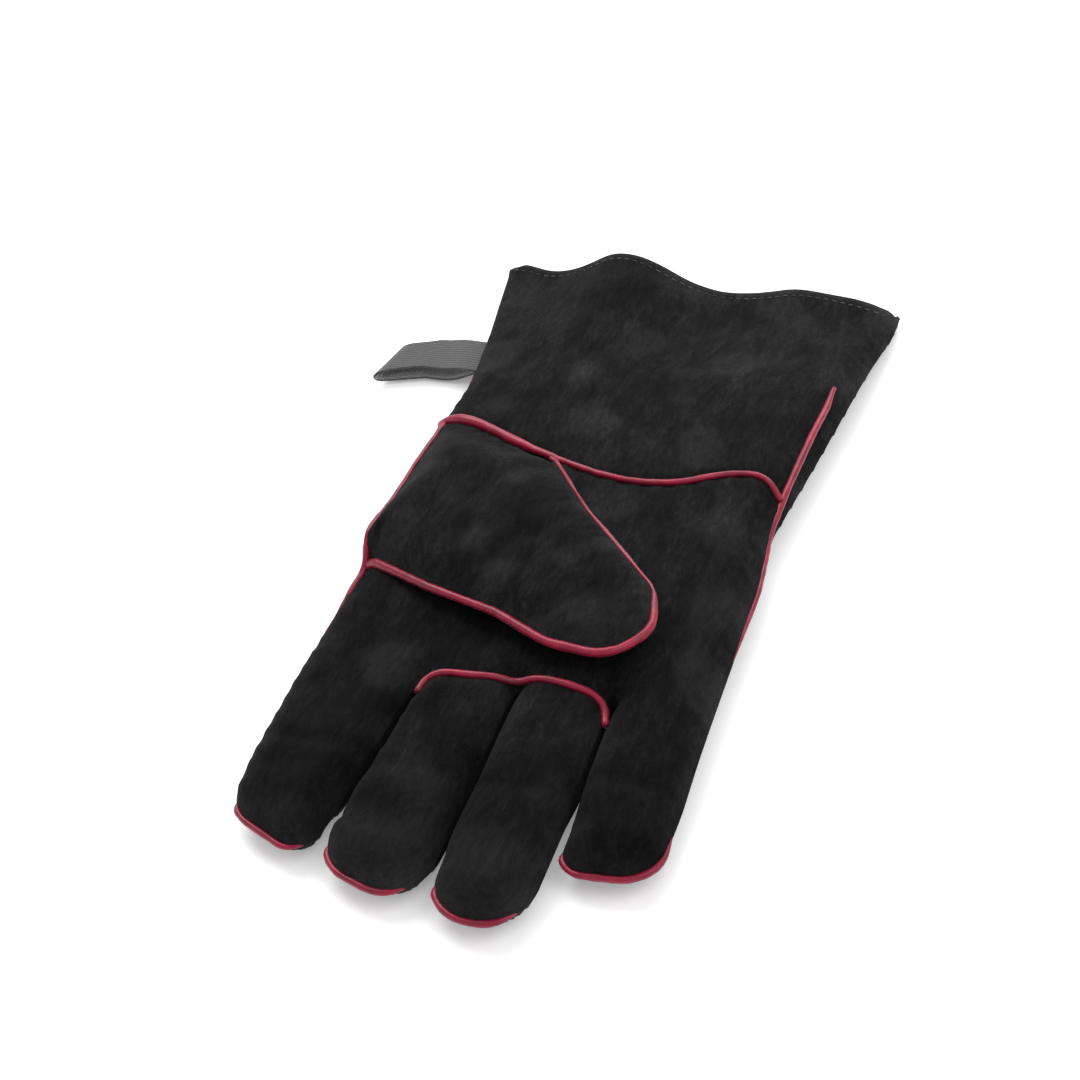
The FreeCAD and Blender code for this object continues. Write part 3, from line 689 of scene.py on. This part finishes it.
def seam_gap(x, y, distance):
    """Half the height of the side strip between a finger's palm and back seams."""
    ends = np.full(np.shape(x), -150.0)
    for left, right, slit in zip((-60, -12, 22), (-12, 22, 60), SLITS):
        ends = np.where((x > left) & (x <= right), slit[2], ends)
    return 3.3 * smooth((y - ends) / 22) * bell(distance, 3.5) * smooth((-84 - y) / 8)


def on_fingers(y):
    """1 along the fingers and 0 on the hand."""
    return smooth((-90 - y) / 10)


def puckers(distance, along, size, reach):
    """Small gathers beside a seam."""
    return bell(distance, reach) * np.sin(2 * math.pi * along / size)


def glove_top(x, y):
    """The height of the palm side."""
    # The crown: nearly level over the hand, then down to the open edge's own height along the cuff.
    cuff = smooth((y - 62) / 96)
    crown = PALM_CROWN + 0.5 * np.sin((y + 60) / 38)
    mouth = sum(np.interp(x + step, MOUTH_X, MOUTH_Z) for step in MOUTH_SOFTENING) / len(MOUTH_SOFTENING)
    crown = crown * (1 - cuff) + mouth * cuff
    # Soft dents, with longer ones along the cuff.
    crown += 0.75 * waves(x, y, 46, 3) + 0.35 * waves(x, y, 19, 4)
    crown += 1.2 * smooth((y - 60) / 40) * (1 - smooth((y - 140) / 20)) * waves(x, y * 0.5, 52, 5)
    # Creases where the fingers fold.
    finger = on_fingers(y)
    crease = bell(y - middle_fold(x, y), 3.2) + 0.6 * bell(y - ROOT_Y + 1.5, 3.4)
    crown += finger * 0.5 - 1.0 * finger * crease
    # Hollows at the two seams across the palm side, gathers above one and fullness past the other.
    crown -= 1.5 * bell(wrist_distance, 2.6) + 1.1 * bell(inset_distance, 2.4)
    crown += 0.35 * puckers(wrist_distance - 4, x + 0.3 * y, 9.0, 5.0)
    crown += 0.7 * smooth(1 - np.abs(inset_distance - 6) / 6) * smooth((-86 - y) / 4)
    # From the height of the seams up to the crown.
    rim = seam_height(x, y) + seam_gap(x, y, slit_distance)
    hand_radius = np.where(y > -85, 14.0, 12.0)
    rise = profile(edge_distance, hand_radius, 0.62) * profile(slit_distance, 8.5, 0.60)
    gathers = 0.28 * puckers(edge_distance - 3, x + y, 7.5, 4.5) * smooth(edge_distance / 2)
    return rim + (crown - rim) * rise + gathers


def glove_bottom(x, y):
    """The height of the back, which lies on the table."""
    base = BACK_LEVEL + 0.25 * waves(x, y, 40, 8) + 0.35 * smooth((y - 142) / 10)
    room_for_badge = smooth(1.5 - np.hypot((x + 6) / 26, (y - 82) / 30))
    base = base + 0.9 * room_for_badge
    rim = np.maximum(seam_height(x, y) - seam_gap(x, y, slit_distance), LOWEST_SEAM)
    rise = profile(edge_distance, 12.0, 0.62) * profile(slit_distance, 8.0, 0.55)
    crease = 0.5 * bell(y - middle_fold(x, y), 5) * on_fingers(y)
    return np.maximum(rim + (base - rim) * rise + crease * rise, 0.05)


def mouth_wave(x, y):
    """How far the cuff's open edge runs past its straight line."""
    return (0.8 - 1.8 * (x + 83) / 169 + 0.9 * waves(x, 0 * x, 60, 11)) * smooth((y - 120) / 40)


# The panels' points: the open edge drops at its two corners, and both sides meet at the seams.
corner_drop = 3.0 * (1 - smooth(edge_distance / 7)) * smooth((glove.y - CUFF_EDGE + 10) / 10)
front_y = glove.y + mouth_wave(*plan) - corner_drop
back_y = glove.y + BACK_WAVE * mouth_wave(*plan) - corner_drop
top = np.stack([glove.x, front_y, glove_top(*plan)], axis=1)
bottom = np.stack([glove.x, back_y, glove_bottom(*plan)], axis=1)
shut = glove.rim & (top[:, 2] < bottom[:, 2] + 0.5)
level = (top[shut] + bottom[shut]) / 2
top[shut], bottom[shut] = level, level
back_cells = glove.cells[:, ::-1]
top_normals = normals_of(top, glove.cells)
bottom_normals = normals_of(bottom, back_cells)

# Painted sheen mixed with wear, as a lighter mark: at the open edge, on the cuff's little-finger side, along
# the seams and at the tips; wear alone in patches.
painted_sheen_and_rub = 0.55 * smooth((glove.y - CUFF_EDGE + 3.5) / 3.5)
painted_sheen_and_rub += 0.55 * smooth((glove.y - 140) / 18) * smooth((glove.x - 70) / 12)
painted_sheen_and_rub += 0.30 * bell(either, 2.6) * smooth(0.5 + waves(*plan, 22, 14))
painted_sheen_and_rub += 0.22 * smooth(waves(*plan, 34, 15) * 1.6 - 0.3)
painted_sheen_and_rub += 0.25 * smooth((-146 - glove.y) / 14)
painted_sheen_and_rub = np.clip(painted_sheen_and_rub, 0, 1)

# Which finger each cell is on, and which piece.
centre = (glove.x[glove.cells].mean(1), glove.y[glove.cells].mean(1))
finger_of = np.zeros(len(glove.cells), int)
for slit in SLITS:
    finger_of += centre[0] > slit_x(slit, centre[1])
wrist_side = centre[1] > np.interp(centre[0], wrist_line[:, 0], wrist_line[:, 1])
in_hand = centre[1] > HAND_BORDER
in_tip = centre[1] < FINGER_BORDER


def bend_at_wrist(piece):
    """Bakes a piece's transform into its mesh, for a piece by the wrist fold."""
    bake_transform(piece)


def bend_at_root(piece, finger):
    """Bakes a piece's transform into its mesh, for a piece by a finger's root fold."""
    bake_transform(piece)


def bend_at_middle(piece, finger):
    """Bakes a piece's transform into its mesh, for a piece by a finger's middle fold."""
    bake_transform(piece)


# Each finger part's function, named for its fold, and its name in the CAD.
BENDS = {"root": bend_at_root, "tip": bend_at_middle}
CAD_PART = {"root": "base", "tip": "tip"}
# Thickness, material and slot of the panels' leather, the side strips' leather and the lining.
PANEL = (LEATHER, SUEDE, "charcoal_suede")
STRIP = (STRIP_LEATHER, SUEDE, "charcoal_suede")
FLEECE_LAYER = (LINING, FLEECE, "cotton_lining")


def skin(name, points, normals, faces, kind, painted_sheen_and_wear, nodes, bend, *finger):
    """A shell that stands in for some CAD nodes, which it hides, and has its transform baked."""
    thickness, material, slot = kind
    piece = shell(name, points, normals, faces, thickness, material, painted_sheen_and_wear)
    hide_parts(*nodes)
    bend(piece, *finger)


palm_side = (top, top_normals)
back_side = (bottom, bottom_normals)
back_nodes = ["back_panel", "cuff_back", "fourchette_crotches"]
palm_cells = glove.cells[in_hand & ~wrist_side]
cuff_cells = glove.cells[in_hand & wrist_side]
skin("palm_leather", *palm_side, palm_cells, PANEL, painted_sheen_and_rub, ["palm_panel"], bend_at_wrist)
skin("cuff_front_leather", *palm_side, cuff_cells, PANEL, painted_sheen_and_rub, ["cuff_front"], bend_at_wrist)
skin("back_leather", *back_side, back_cells[in_hand], PANEL, painted_sheen_and_rub, back_nodes, bend_at_wrist)

for number, finger in enumerate(FINGERS):
    mine = (finger_of == number) & ~in_hand
    for part, chosen in (("root", mine & ~in_tip), ("tip", mine & in_tip)):
        name = f"{finger}_{part}"
        node = f"{finger}_{CAD_PART[part]}"
        skin(f"{name}_palm_leather", *palm_side, glove.cells[chosen], PANEL, painted_sheen_and_rub, [f"{node}_front"],
             BENDS[part], finger)
        skin(f"{name}_back_leather", *back_side, back_cells[chosen], PANEL, painted_sheen_and_rub, [f"{node}_back"],
             BENDS[part], finger)

# ---------------------------------------------------------------- the side strips between the fingers
rim_edges, rim_owner = border_edges(glove.cells)
gap = top[:, 2] - bottom[:, 2]
stripped = (gap[rim_edges] > 0.55).all(1) & (slit_distance[rim_edges] < 1.5).all(1)
strip_edges, strip_owner = rim_edges[stripped], rim_owner[stripped]
outward = np.zeros((len(top), 3))
run = top[strip_edges[:, 1]] - top[strip_edges[:, 0]]
for place in (0, 1):
    np.add.at(outward, strip_edges[:, place], np.stack([run[:, 1], -run[:, 0], 0 * run[:, 0]], axis=1))
outward = unit(outward)
strip_points = np.zeros((len(top), STRIP_LEVELS, 3))
for step in range(STRIP_LEVELS):
    share = step / (STRIP_LEVELS - 1)
    hollow = 0.5 * math.sin(math.pi * share)
    strip_points[:, step] = bottom * (1 - share) + top * share - hollow * outward
strip_points = strip_points.reshape(-1, 3)
strip_normals = np.repeat(outward, STRIP_LEVELS, axis=0)


def strip_faces(edges):
    """The quads of the side strips over some of the rim's edges."""
    faces = []
    for step in range(STRIP_LEVELS - 1):
        a, b = edges[:, 0] * STRIP_LEVELS + step, edges[:, 1] * STRIP_LEVELS + step
        faces.append(np.stack([a, b, b + 1, a + 1], axis=1))
    return np.vstack(faces)


strip_wear = np.repeat(0.15 * smooth(waves(*plan, 20, 31)), STRIP_LEVELS)
for number, finger in enumerate(FINGERS):
    mine = finger_of[strip_owner] == number
    low = in_tip[strip_owner]
    for part, chosen in (("root", mine & ~low), ("tip", mine & low)):
        skin(f"{finger}_{part}_fourchette", strip_points, strip_normals, strip_faces(strip_edges[chosen]),
             STRIP, strip_wear, [f"{finger}_fourchette"], BENDS[part], finger)

# ---------------------------------------------------------------- the lining
deep = (either[glove.cells] > 3.0).all(1) & (glove.y[glove.cells] < CUFF_EDGE - 0.5).all(1)
lining_points = np.vstack([top - LINING_INSET * top_normals, bottom - LINING_INSET * bottom_normals])
deep_cells = glove.cells[deep]
deep_edges, deep_owner = border_edges(deep_cells)
at_mouth = (glove.y[deep_edges] > CUFF_EDGE - GRID - 0.1).all(1)
deep_edges, deep_owner = deep_edges[~at_mouth], deep_owner[~at_mouth]
deep_hand, deep_tip, deep_finger = in_hand[deep], in_tip[deep], finger_of[deep]


def two_layers(cells, edges, below):
    """Some cells, the same cells turned over in the layer below, and the strip that joins them."""
    join = np.stack([edges[:, 0] + below, edges[:, 1] + below, edges[:, 1], edges[:, 0]], axis=1)
    return np.vstack([cells, cells[:, ::-1] + below, join])


def lining_faces(chosen):
    """The hand's or a finger's lining over some cells."""
    return two_layers(deep_cells[chosen], deep_edges[chosen[deep_owner]], len(top))


all_lining = lining_faces(np.ones(len(deep_cells), bool))
lining_normals = normals_of(lining_points, all_lining)
skin("hand_and_cuff_lining", lining_points, lining_normals, lining_faces(deep_hand), FLEECE_LAYER, None,
     ["hand_lining", "cuff_lining"], bend_at_wrist)
for number, finger in enumerate(FINGERS):
    for part, chosen in (("root", ~deep_hand & ~deep_tip), ("tip", ~deep_hand & deep_tip)):
        faces = lining_faces(chosen & (deep_finger == number))
        skin(f"{finger}_{part}_lining", lining_points, lining_normals, faces, FLEECE_LAYER, None,
             [f"{finger}_{CAD_PART[part]}_lining"], BENDS[part], finger)


# ---------------------------------------------------------------- the thumb
def surface_height(places, *surfaces):
    """The highest of some surfaces, each given by its points, at some places in the plan."""
    highest = np.full(len(places), -1e9)
    for x, y, z in (surface.T for surface in surfaces):
        for number, (px, py) in enumerate(places[:, :2]):
            distance = (x - px) ** 2 + (y - py) ** 2
            near = np.argpartition(distance, 4)[:4]
            if distance[near].min() > 6.0:
                continue
            weight = 1 / (distance[near] + 0.05)
            highest[number] = max(highest[number], (z[near] * weight).sum() / weight.sum())
    return highest


def eased(values, times):
    """Values along a path with their small steps evened out."""
    for _ in range(times):
        values[1:-1] = (values[:-2] + 2 * values[1:-1] + values[2:]) / 4
    return values


def laid_on(line, lift, times, *surfaces):
    """A line in the plan, laid on some surfaces, evened out and lifted off them."""
    return np.column_stack([line, eased(surface_height(line, *surfaces), times) + lift])


def closest(line, place):
    """The number of the point of a line that is closest to a place in the plan."""
    return int(np.argmin(np.hypot(*(line[:, :2] - place).T)))


def outward_of(line):
    """The level direction to the right of each point of a line."""
    along = unit(np.gradient(line, axis=0))
    return np.stack([along[:, 1], -along[:, 0]], axis=1)


thumb_line = rounded(THUMB_OUTLINE, closed=True)
thumb_rim = resample(thumb_line, 1.5, closed=True)
palm_surface = top[glove.used]
back_surface = bottom[glove.used] * (1, 1, -1)
on_cuff_seam = smooth((thumb_rim[:, 1] - 12) / 8)
thumb_rim[:, 2] += on_cuff_seam * (surface_height(thumb_rim, palm_surface) + 0.3 - thumb_rim[:, 2])
thumb_plan = thumb_line[:, :2]
thumb = Grid(thumb_plan, thumb_plan, True, np.arange(-78.0, 51.0, GRID), np.arange(-84.0, 48.0, GRID))
on_thumb = (thumb.x, thumb.y)
past_fold = (thumb.x - FOLD_START[0]) * FOLD_ACROSS[0] + (thumb.y - FOLD_START[1]) * FOLD_ACROSS[1]
along_fold = (thumb.x - FOLD_START[0]) * FOLD_AXIS[0] + (thumb.y - FOLD_START[1]) * FOLD_AXIS[1]
thumb_distance, _ = nearest(*on_thumb, thumb_line, True)


def seam_level_near(x, y, rim):
    """The height of the nearest seam, softly averaged."""
    total = np.zeros(np.size(x))
    weights = np.zeros(np.size(x))
    for px, py, pz in rim:
        weight = 1.0 / ((x - px) ** 2 + (y - py) ** 2 + 0.4) ** 2
        total += weight * pz
        weights += weight
    return total / weights


# The crown falls to the root and the tip, stays clear of the wrist seam and is creased at two folds.
thumb_seam = seam_level_near(*on_thumb, thumb_rim)
root_side = smooth((6 - past_fold) / 40)
crown = THUMB_TOP - 1.4 - 2.0 * smooth((past_fold - 60) / 45) - 7.5 * smooth((-past_fold - 4) / 46)
crown += 0.8 * waves(*on_thumb, 38, 21) + 0.35 * waves(*on_thumb, 15, 22)
wrist_away, _ = nearest(*on_thumb, wrist_line)
slope_up = 19.8 + 0.58 * wrist_away
crown = -2.0 * np.log(np.exp(-crown / 2.0) + np.exp(-slope_up / 2.0))
crown -= 1.3 * bell(past_fold - 42, 4.5) * smooth((thumb_distance - 1) / 9)
crown -= 0.8 * bell(past_fold - 4 - 0.12 * along_fold, 4.0)
rise = profile(thumb_distance, 14 + 15 * root_side, 0.58)
gathers = 0.30 * puckers(thumb_distance - 3, thumb.x - thumb.y, 7.0, 4.5) * smooth(thumb_distance / 2)
over = np.stack([thumb.x, thumb.y, thumb_seam + (crown - thumb_seam) * rise + gathers], axis=1)
# The underside rests just above the palm.
under_level = THUMB_UNDERSIDE + 0.3 * waves(*on_thumb, 30, 23)
under_drop = np.minimum(under_level, thumb_seam - 0.2) - thumb_seam
under_z = thumb_seam + under_drop * profile(thumb_distance, 8, 0.6)
under = np.stack([thumb.x, thumb.y, under_z], axis=1)
# Painted sheen along the thumb's rim and towards its tip, with wear in patches.
thumb_painted_sheen_and_wear = 0.28 * bell(thumb_distance, 2.6)
thumb_painted_sheen_and_wear += 0.25 * smooth(waves(*on_thumb, 30, 24) * 1.6 - 0.2)
thumb_painted_sheen_and_wear += 0.18 * smooth((past_fold - 75) / 25)
under_cells = thumb.cells[(past_fold[thumb.cells] > -1.5).all(1)][:, ::-1]
over_normals = normals_of(over, thumb.cells)
under_normals = normals_of(under, under_cells)


def bend_at_thumb(piece):
    """Bakes a piece's transform into its mesh, for a piece by the thumb's root fold."""
    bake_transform(piece)


skin("thumb_outer_leather", over, over_normals, thumb.cells, PANEL, thumb_painted_sheen_and_wear,
     ["thumb_outer", "thenar_panel"], bend_at_thumb)
skin("thumb_inner_leather", under, under_normals, under_cells, PANEL, thumb_painted_sheen_and_wear,
     ["thumb_inner"], bend_at_thumb)
# The lining goes where the thumb is thick enough for it.
roomy = (thumb_distance > 3.5) & (past_fold > 1) & (wrist_away > 14)
thumb_deep = thumb.cells[roomy[thumb.cells].all(1)]
thumb_edges, _ = border_edges(thumb_deep)
thumb_edges = thumb_edges[(thumb_distance[thumb_edges] < 7.0).all(1)]
sleeve_points = np.vstack([over - LINING_INSET * over_normals, under - LINING_INSET * under_normals])
sleeve_faces = two_layers(thumb_deep, thumb_edges, len(over))
skin("thumb_lining_sleeve", sleeve_points, normals_of(sleeve_points, sleeve_faces), sleeve_faces,
     FLEECE_LAYER, None, ["thumb_lining"], bend_at_thumb)


# ---------------------------------------------------------------- welts
class Bead:
    """A round bead along a path, kept as rings so that its pieces meet exactly."""

    def __init__(self, path, radius, seed, squash=1.0, sides=12):
        along = unit(np.gradient(path, axis=0))
        side = unit(np.cross(along, UP))
        up = squash * np.cross(side, along)
        length = np.arange(len(path))
        rough = 1 + 0.07 * waves(length, 0 * length, 9, seed) + 0.05 * waves(length, 0 * length, 4, seed + 1)
        wide = np.broadcast_to(radius, len(path)) * rough
        angles = np.arange(sides) * 2 * math.pi / sides
        ring = np.cos(angles)[:, None] * side[:, None] + np.sin(angles)[:, None] * up[:, None]
        self.rings = path[:, None] + wide[:, None, None] * ring
        self.centres = path
        self.sides = sides

    def piece(self, name, first, last, material, slot):
        """The bead from one ring to another, with rounded ends."""
        rings = self.rings[first:last + 1]
        centres = self.centres[first:last + 1]
        count, sides = len(rings), self.sides
        points = [rings.reshape(-1, 3)]
        faces = tube_faces(0, count, sides)
        tip = count * sides
        for ring, direction in ((0, centres[0] - centres[1]), (count - 1, centres[-1] - centres[-2])):
            direction = direction / np.linalg.norm(direction)
            radius = np.linalg.norm(rings[ring][0] - centres[ring])
            points.append((centres[ring] + 0.3 * radius * direction)[None])
            for side in range(sides):
                a, b = ring * sides + side, ring * sides + (side + 1) % sides
                faces.append((b, a, tip) if ring == 0 else (a, b, tip))
            tip += 1
        piece = link_mesh(name, np.vstack(points), faces, material)
        return piece


def hold_to_hand(piece):
    """Holds a piece to the hand."""
    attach(piece, "hand")


def piping(bead, name, first, last, nodes, bend, *finger):
    """A stretch of red piping that stands in for some CAD nodes, which it hides, and is placed by the given
    function.
    """
    piece = bead.piece(name, first, last, WELT, "red_welt")
    if nodes:
        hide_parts(*nodes)
    bend(piece, *finger)


# The bead round the whole outline, of which each side and tip shows a stretch.
welt_line = resample(outline, WELT_STEP)
welt_x, welt_y = welt_line.T
shift = np.where(welt_x < 0, read_off(THUMB_SIDE_SHIFT, welt_y), read_off(LITTLE_SIDE_SHIFT, welt_y))
welt_radius = np.where(welt_x < 0, read_off(THUMB_SIDE_RADIUS, welt_y), read_off(LITTLE_SIDE_RADIUS, welt_y))
tip_number = sum((welt_x > slit_x(slit, welt_y)).astype(int) for slit in SLITS)
for number, (near_thumb, far_side, thins_after) in enumerate(TIP_SHOWS.values()):
    shows_below = near_thumb + (far_side - near_thumb) * smooth((welt_x - 58) / 10)
    fades_over = 4 + 14 * smooth((welt_x - 58) / 10)
    shown = smooth((shows_below + 2 - welt_y) / fades_over) * (1 - smooth((welt_x - thins_after) / 9))
    on_this_tip = (tip_number == number) & (welt_y < -100)
    welt_radius = np.where(on_this_tip, TUCKED_RADIUS + 0.65 * shown, welt_radius)
# The thinner the welt, the deeper it tucks into its seam; past the tips it lies on top of the leather.
tucked = 1.5 * (1.35 - welt_radius)
shift = eased(shift, 12)
welt_plan = welt_line + (0.5 - tucked - shift)[:, None] * outward_of(welt_line)
seam_z = seam_height(welt_x, welt_y) - seam_gap(welt_x, welt_y, 0.0) * on_slit(welt_line)
seam_z = eased(np.maximum(seam_z, LOWEST_SEAM), 6)
thumb_surface = over[thumb.used & (past_fold < 2)]
on_top = (np.abs(welt_x) > 60) & (shift > 0)
raised = seam_z.copy()
raised[on_top] = surface_height(welt_plan[on_top], palm_surface, thumb_surface) + 0.35
welt_z = eased(seam_z + smooth((shift - 0.4) / 2.5) * (raised - seam_z), 10)
side_bead = Bead(np.column_stack([welt_plan, welt_z]), welt_radius, 40)


def stretch(side, y_low, y_high):
    """The first and last rings of the outline's bead between two heights on one side of the glove."""
    found = np.flatnonzero((side * welt_x > 60) & (welt_y > y_low) & (welt_y < y_high))
    return int(found[0]), int(found[-1])


thumb_start, thumb_end = stretch(-1, HAND_BORDER, 82)
little_start, little_end = stretch(1, HAND_BORDER, 88)
_, index_root_end = stretch(-1, FINGER_BORDER, HAND_BORDER)
little_root_start, _ = stretch(1, FINGER_BORDER, HAND_BORDER)
piping(side_bead, "thumb_side_piping", thumb_start, thumb_end,
       ["thumb_side_welt", "cuff_thumb_side_welt"], bend_at_wrist)
piping(side_bead, "little_side_piping", little_start, little_end,
       ["little_side_welt", "cuff_little_side_welt"], bend_at_wrist)
piping(side_bead, "index_side_piping", thumb_end, index_root_end, [], bend_at_root, "index")
piping(side_bead, "little_outer_piping", little_root_start, little_start, [], bend_at_root, "little")
for number, finger in enumerate(TIP_SHOWS):
    found = np.flatnonzero((tip_number == number) & (welt_y < FINGER_BORDER - 6))
    start = index_root_end if finger == "index" else int(found[0])
    end = little_root_start if finger == "little" else int(found[-1])
    piping(side_bead, f"{finger}_tip_piping", start, end, [f"{finger}_tip_welt"], bend_at_middle, finger)

wrist_path = laid_on(wrist_line, 0.9, 8, palm_surface, thumb_surface)
wrist_radius = 1.2 + 0.85 * smooth((-8 - wrist_line[:, 0]) / 45)
piping(Bead(wrist_path, wrist_radius, 50), "wrist_piping", 0, len(wrist_path) - 1,
       ["wrist_welt"], bend_at_wrist)
inset_path = laid_on(inset_line, 0.65, 8, palm_surface)
piping(Bead(inset_path, 1.3, 60), "finger_inset_piping", 0, len(inset_path) - 1,
       ["finger_base_welt"], hold_to_hand)

thumb_fine = resample(thumb_line, WELT_STEP, closed=True)
thumb_path = thumb_fine[closest(thumb_fine, THUMB_WELT_START):closest(thumb_fine, THUMB_WELT_END) + 1]
thumb_path[:, :2] += 0.5 * outward_of(thumb_path)
past_tip = np.arange(len(thumb_path)) > int(np.argmax(thumb_path[:, 0]))
thumb_radius = np.where(past_tip, read_off(THUMB_WELT_PAST_TIP, thumb_path[:, 1]),
                        read_off(THUMB_WELT_TO_TIP, thumb_path[:, 0]))
piping(Bead(thumb_path, thumb_radius, 70), "thumb_piping", 0, len(thumb_path) - 1,
       ["thumb_welt"], bend_at_thumb)


# ---------------------------------------------------------------- the hang loop
def hang_loop():
    """A grey woven tape, folded double, with its lighter inner face showing at the open sides."""
    low, high = node_box("hang_loop")
    width = LOOP_WIDTH_SHARE * (high[1] - low[1])
    middle = (low[1] + high[1]) / 2
    profile_line = spline(LOOP_LINE, 1.0)
    columns = 14
    points = []
    for px, pz in profile_line:
        for column in range(columns + 1):
            share = column / columns - 0.5
            skew = LOOP_SKEW * share * float(smooth((-px - 92) / 20))
            bend = LOOP_BEND * float(np.clip((-px - 97) / 18, 0, 1))
            ripple = LOOP_RIPPLE * math.sin(px * 0.22 + 2.2 * share) * float(smooth((-px - 78) / 10))
            points.append((px + skew, middle + share * width + bend, pz + ripple))
    points = np.array(points)
    across = columns + 1
    faces = []
    for step in range(len(profile_line) - 1):
        for column in range(columns):
            a = step * across + column
            faces.append((a, a + 1, a + across + 1, a + across))
    faces = np.array(faces)
    tape = shell("hang_loop_tape", points, normals_of(points, faces), faces, TAPE_THICKNESS, TAPE)
    tape.data.materials.append(TAPE_INSIDE)
    for polygon in tape.data.polygons:
        inner = len(faces) <= polygon.index < 2 * len(faces)
        polygon.material_index = 1 if inner else 0
    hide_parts("hang_loop")
    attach(tape, "hang_loop")


hang_loop()


# ---------------------------------------------------------------- stitches and the badge
def stitch_row(name, ends):
    """Many short round-ended stitches in one piece; ends are (start, end) points."""
    points, faces = [], []
    sides = 8
    for start, end in ends:
        start, end = np.array(start), np.array(end)
        along = end - start
        side = np.cross(along, UP)
        side /= np.linalg.norm(side)
        up = np.cross(side, along / np.linalg.norm(along))
        base = len(points)
        for share, wide in STITCH_PROFILE:
            for number in range(sides):
                angle = 2 * math.pi * number / sides
                offset = side * math.cos(angle) + up * math.sin(angle)
                points.append(start + share * along + wide * STITCH_RADIUS * offset)
        faces += tube_faces(base, len(STITCH_PROFILE), sides)
        last = len(points) - sides
        faces.append(tuple(base + number for number in range(sides - 1, -1, -1)))
        faces.append(tuple(last + number for number in range(sides)))
    piece = link_mesh(name, points, faces, THREAD)
    return piece


def hem():
    """A row of stitches round the cuff's open edge, on its palm side and its back."""
    ends = []
    places = np.arange(-80.5, 83.5, STITCH_PITCH)
    edge_wave = mouth_wave(places, 0 * places + HEM_LINE)
    for sign, surface, share in ((1, palm_surface, 1.0), (-1, back_surface, BACK_WAVE)):
        line = np.column_stack([places, HEM_LINE + share * edge_wave])
        heights = sign * surface_height(line, surface)
        spots = np.column_stack([line, heights + 0.05])
        ends += [(spots[number], spots[number + 1]) for number in range(0, len(spots) - 1, 2)]
    stitches = stitch_row("cuff_hem_stitches", ends)
    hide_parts("cuff_hem_stitching")
    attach(stitches, "cuff")


def badge():
    """Three rising heat waves in satin stitch on the back of the cuff."""
    low, high = node_box("back_emblem")
    middle_x, middle_y = (low[0] + high[0]) / 2, (low[1] + high[1]) / 2
    half_length = (high[1] - low[1]) / 2 - BADGE_MARGIN
    share = np.linspace(-1, 1, 70)
    for number, (sideways, reach) in enumerate(BADGE_WAVES):
        line_x = middle_x + sideways + BADGE_SWING * np.sin(share * reach * BADGE_TURN)
        line_y = middle_y + share * reach * half_length
        line = np.column_stack([line_x, line_y])
        heights = eased(-surface_height(line, back_surface), 10)
        path = np.column_stack([line, heights - 0.05])
        wide = BADGE_HALF_WIDTH * np.sqrt(np.clip(1 - np.abs(share) ** 3, 0.02, 1))
        bead = Bead(path, wide, 80 + number, squash=0.2)
        wave = bead.piece(f"badge_wave_{number}", 0, len(path) - 1, SATIN, "embroidery")
        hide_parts("back_emblem")
        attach(wave, "cuff")


hem()
badge()


# ---------------------------------------------------------------- stage
def stage():
    """A plain pale floor and soft lights."""
    bpy.ops.mesh.primitive_plane_add(size=8.0, location=(0, 0, 0))
    floor = bpy.context.object
    floor.name = "floor"
    floor.data.materials.append(Look("floor_paint").finish({
        "Base Color": (0.88, 0.88, 0.88, 1),
        "Roughness": 0.9,
        "Emission Color": (1, 1, 1, 1),
        "Emission Strength": 0.22,
    }))
    world = bpy.data.worlds.new("studio")
    bpy.context.scene.world = world
    world.use_nodes = True
    background = world.node_tree.nodes["Background"]
    background.inputs["Color"].default_value = (1, 1, 1, 1)
    background.inputs["Strength"].default_value = 0.75
    for number, (place, size, power) in enumerate(LIGHTS):
        data = bpy.data.lights.new(f"softbox_{number}", "AREA")
        data.shape = "DISK"
        data.size = size
        data.energy = power
        lamp = bpy.data.objects.new(f"softbox_{number}", data)
        lamp.location = place
        lamp.rotation_euler = (Vector((0, 0, 0)) - Vector(place)).to_track_quat("-Z", "Y").to_euler()
        bpy.context.scene.collection.objects.link(lamp)


def camera():
    """The camera, at the photograph's viewing angle."""
    data = bpy.data.cameras.new("camera")
    data.lens = CAMERA_LENS
    data.sensor_width = CAMERA_SENSOR
    eye = bpy.data.objects.new("camera", data)
    azimuth, elevation = math.radians(CAMERA_AZIMUTH), math.radians(CAMERA_ELEVATION)
    level = math.cos(elevation)
    towards = Vector((math.sin(azimuth) * level, -math.cos(azimuth) * level, math.sin(elevation)))
    aim = Vector(metres(*CAMERA_AIM))
    eye.location = aim + CAMERA_DISTANCE * MM * towards
    turn = Quaternion((0, 0, 1), math.radians(CAMERA_ROLL))
    eye.rotation_euler = ((aim - eye.location).to_track_quat("-Z", "Y") @ turn).to_euler()
    bpy.context.scene.collection.objects.link(eye)
    bpy.context.scene.camera = eye


stage()
camera()
bpy.context.scene.view_settings.view_transform = "Standard"
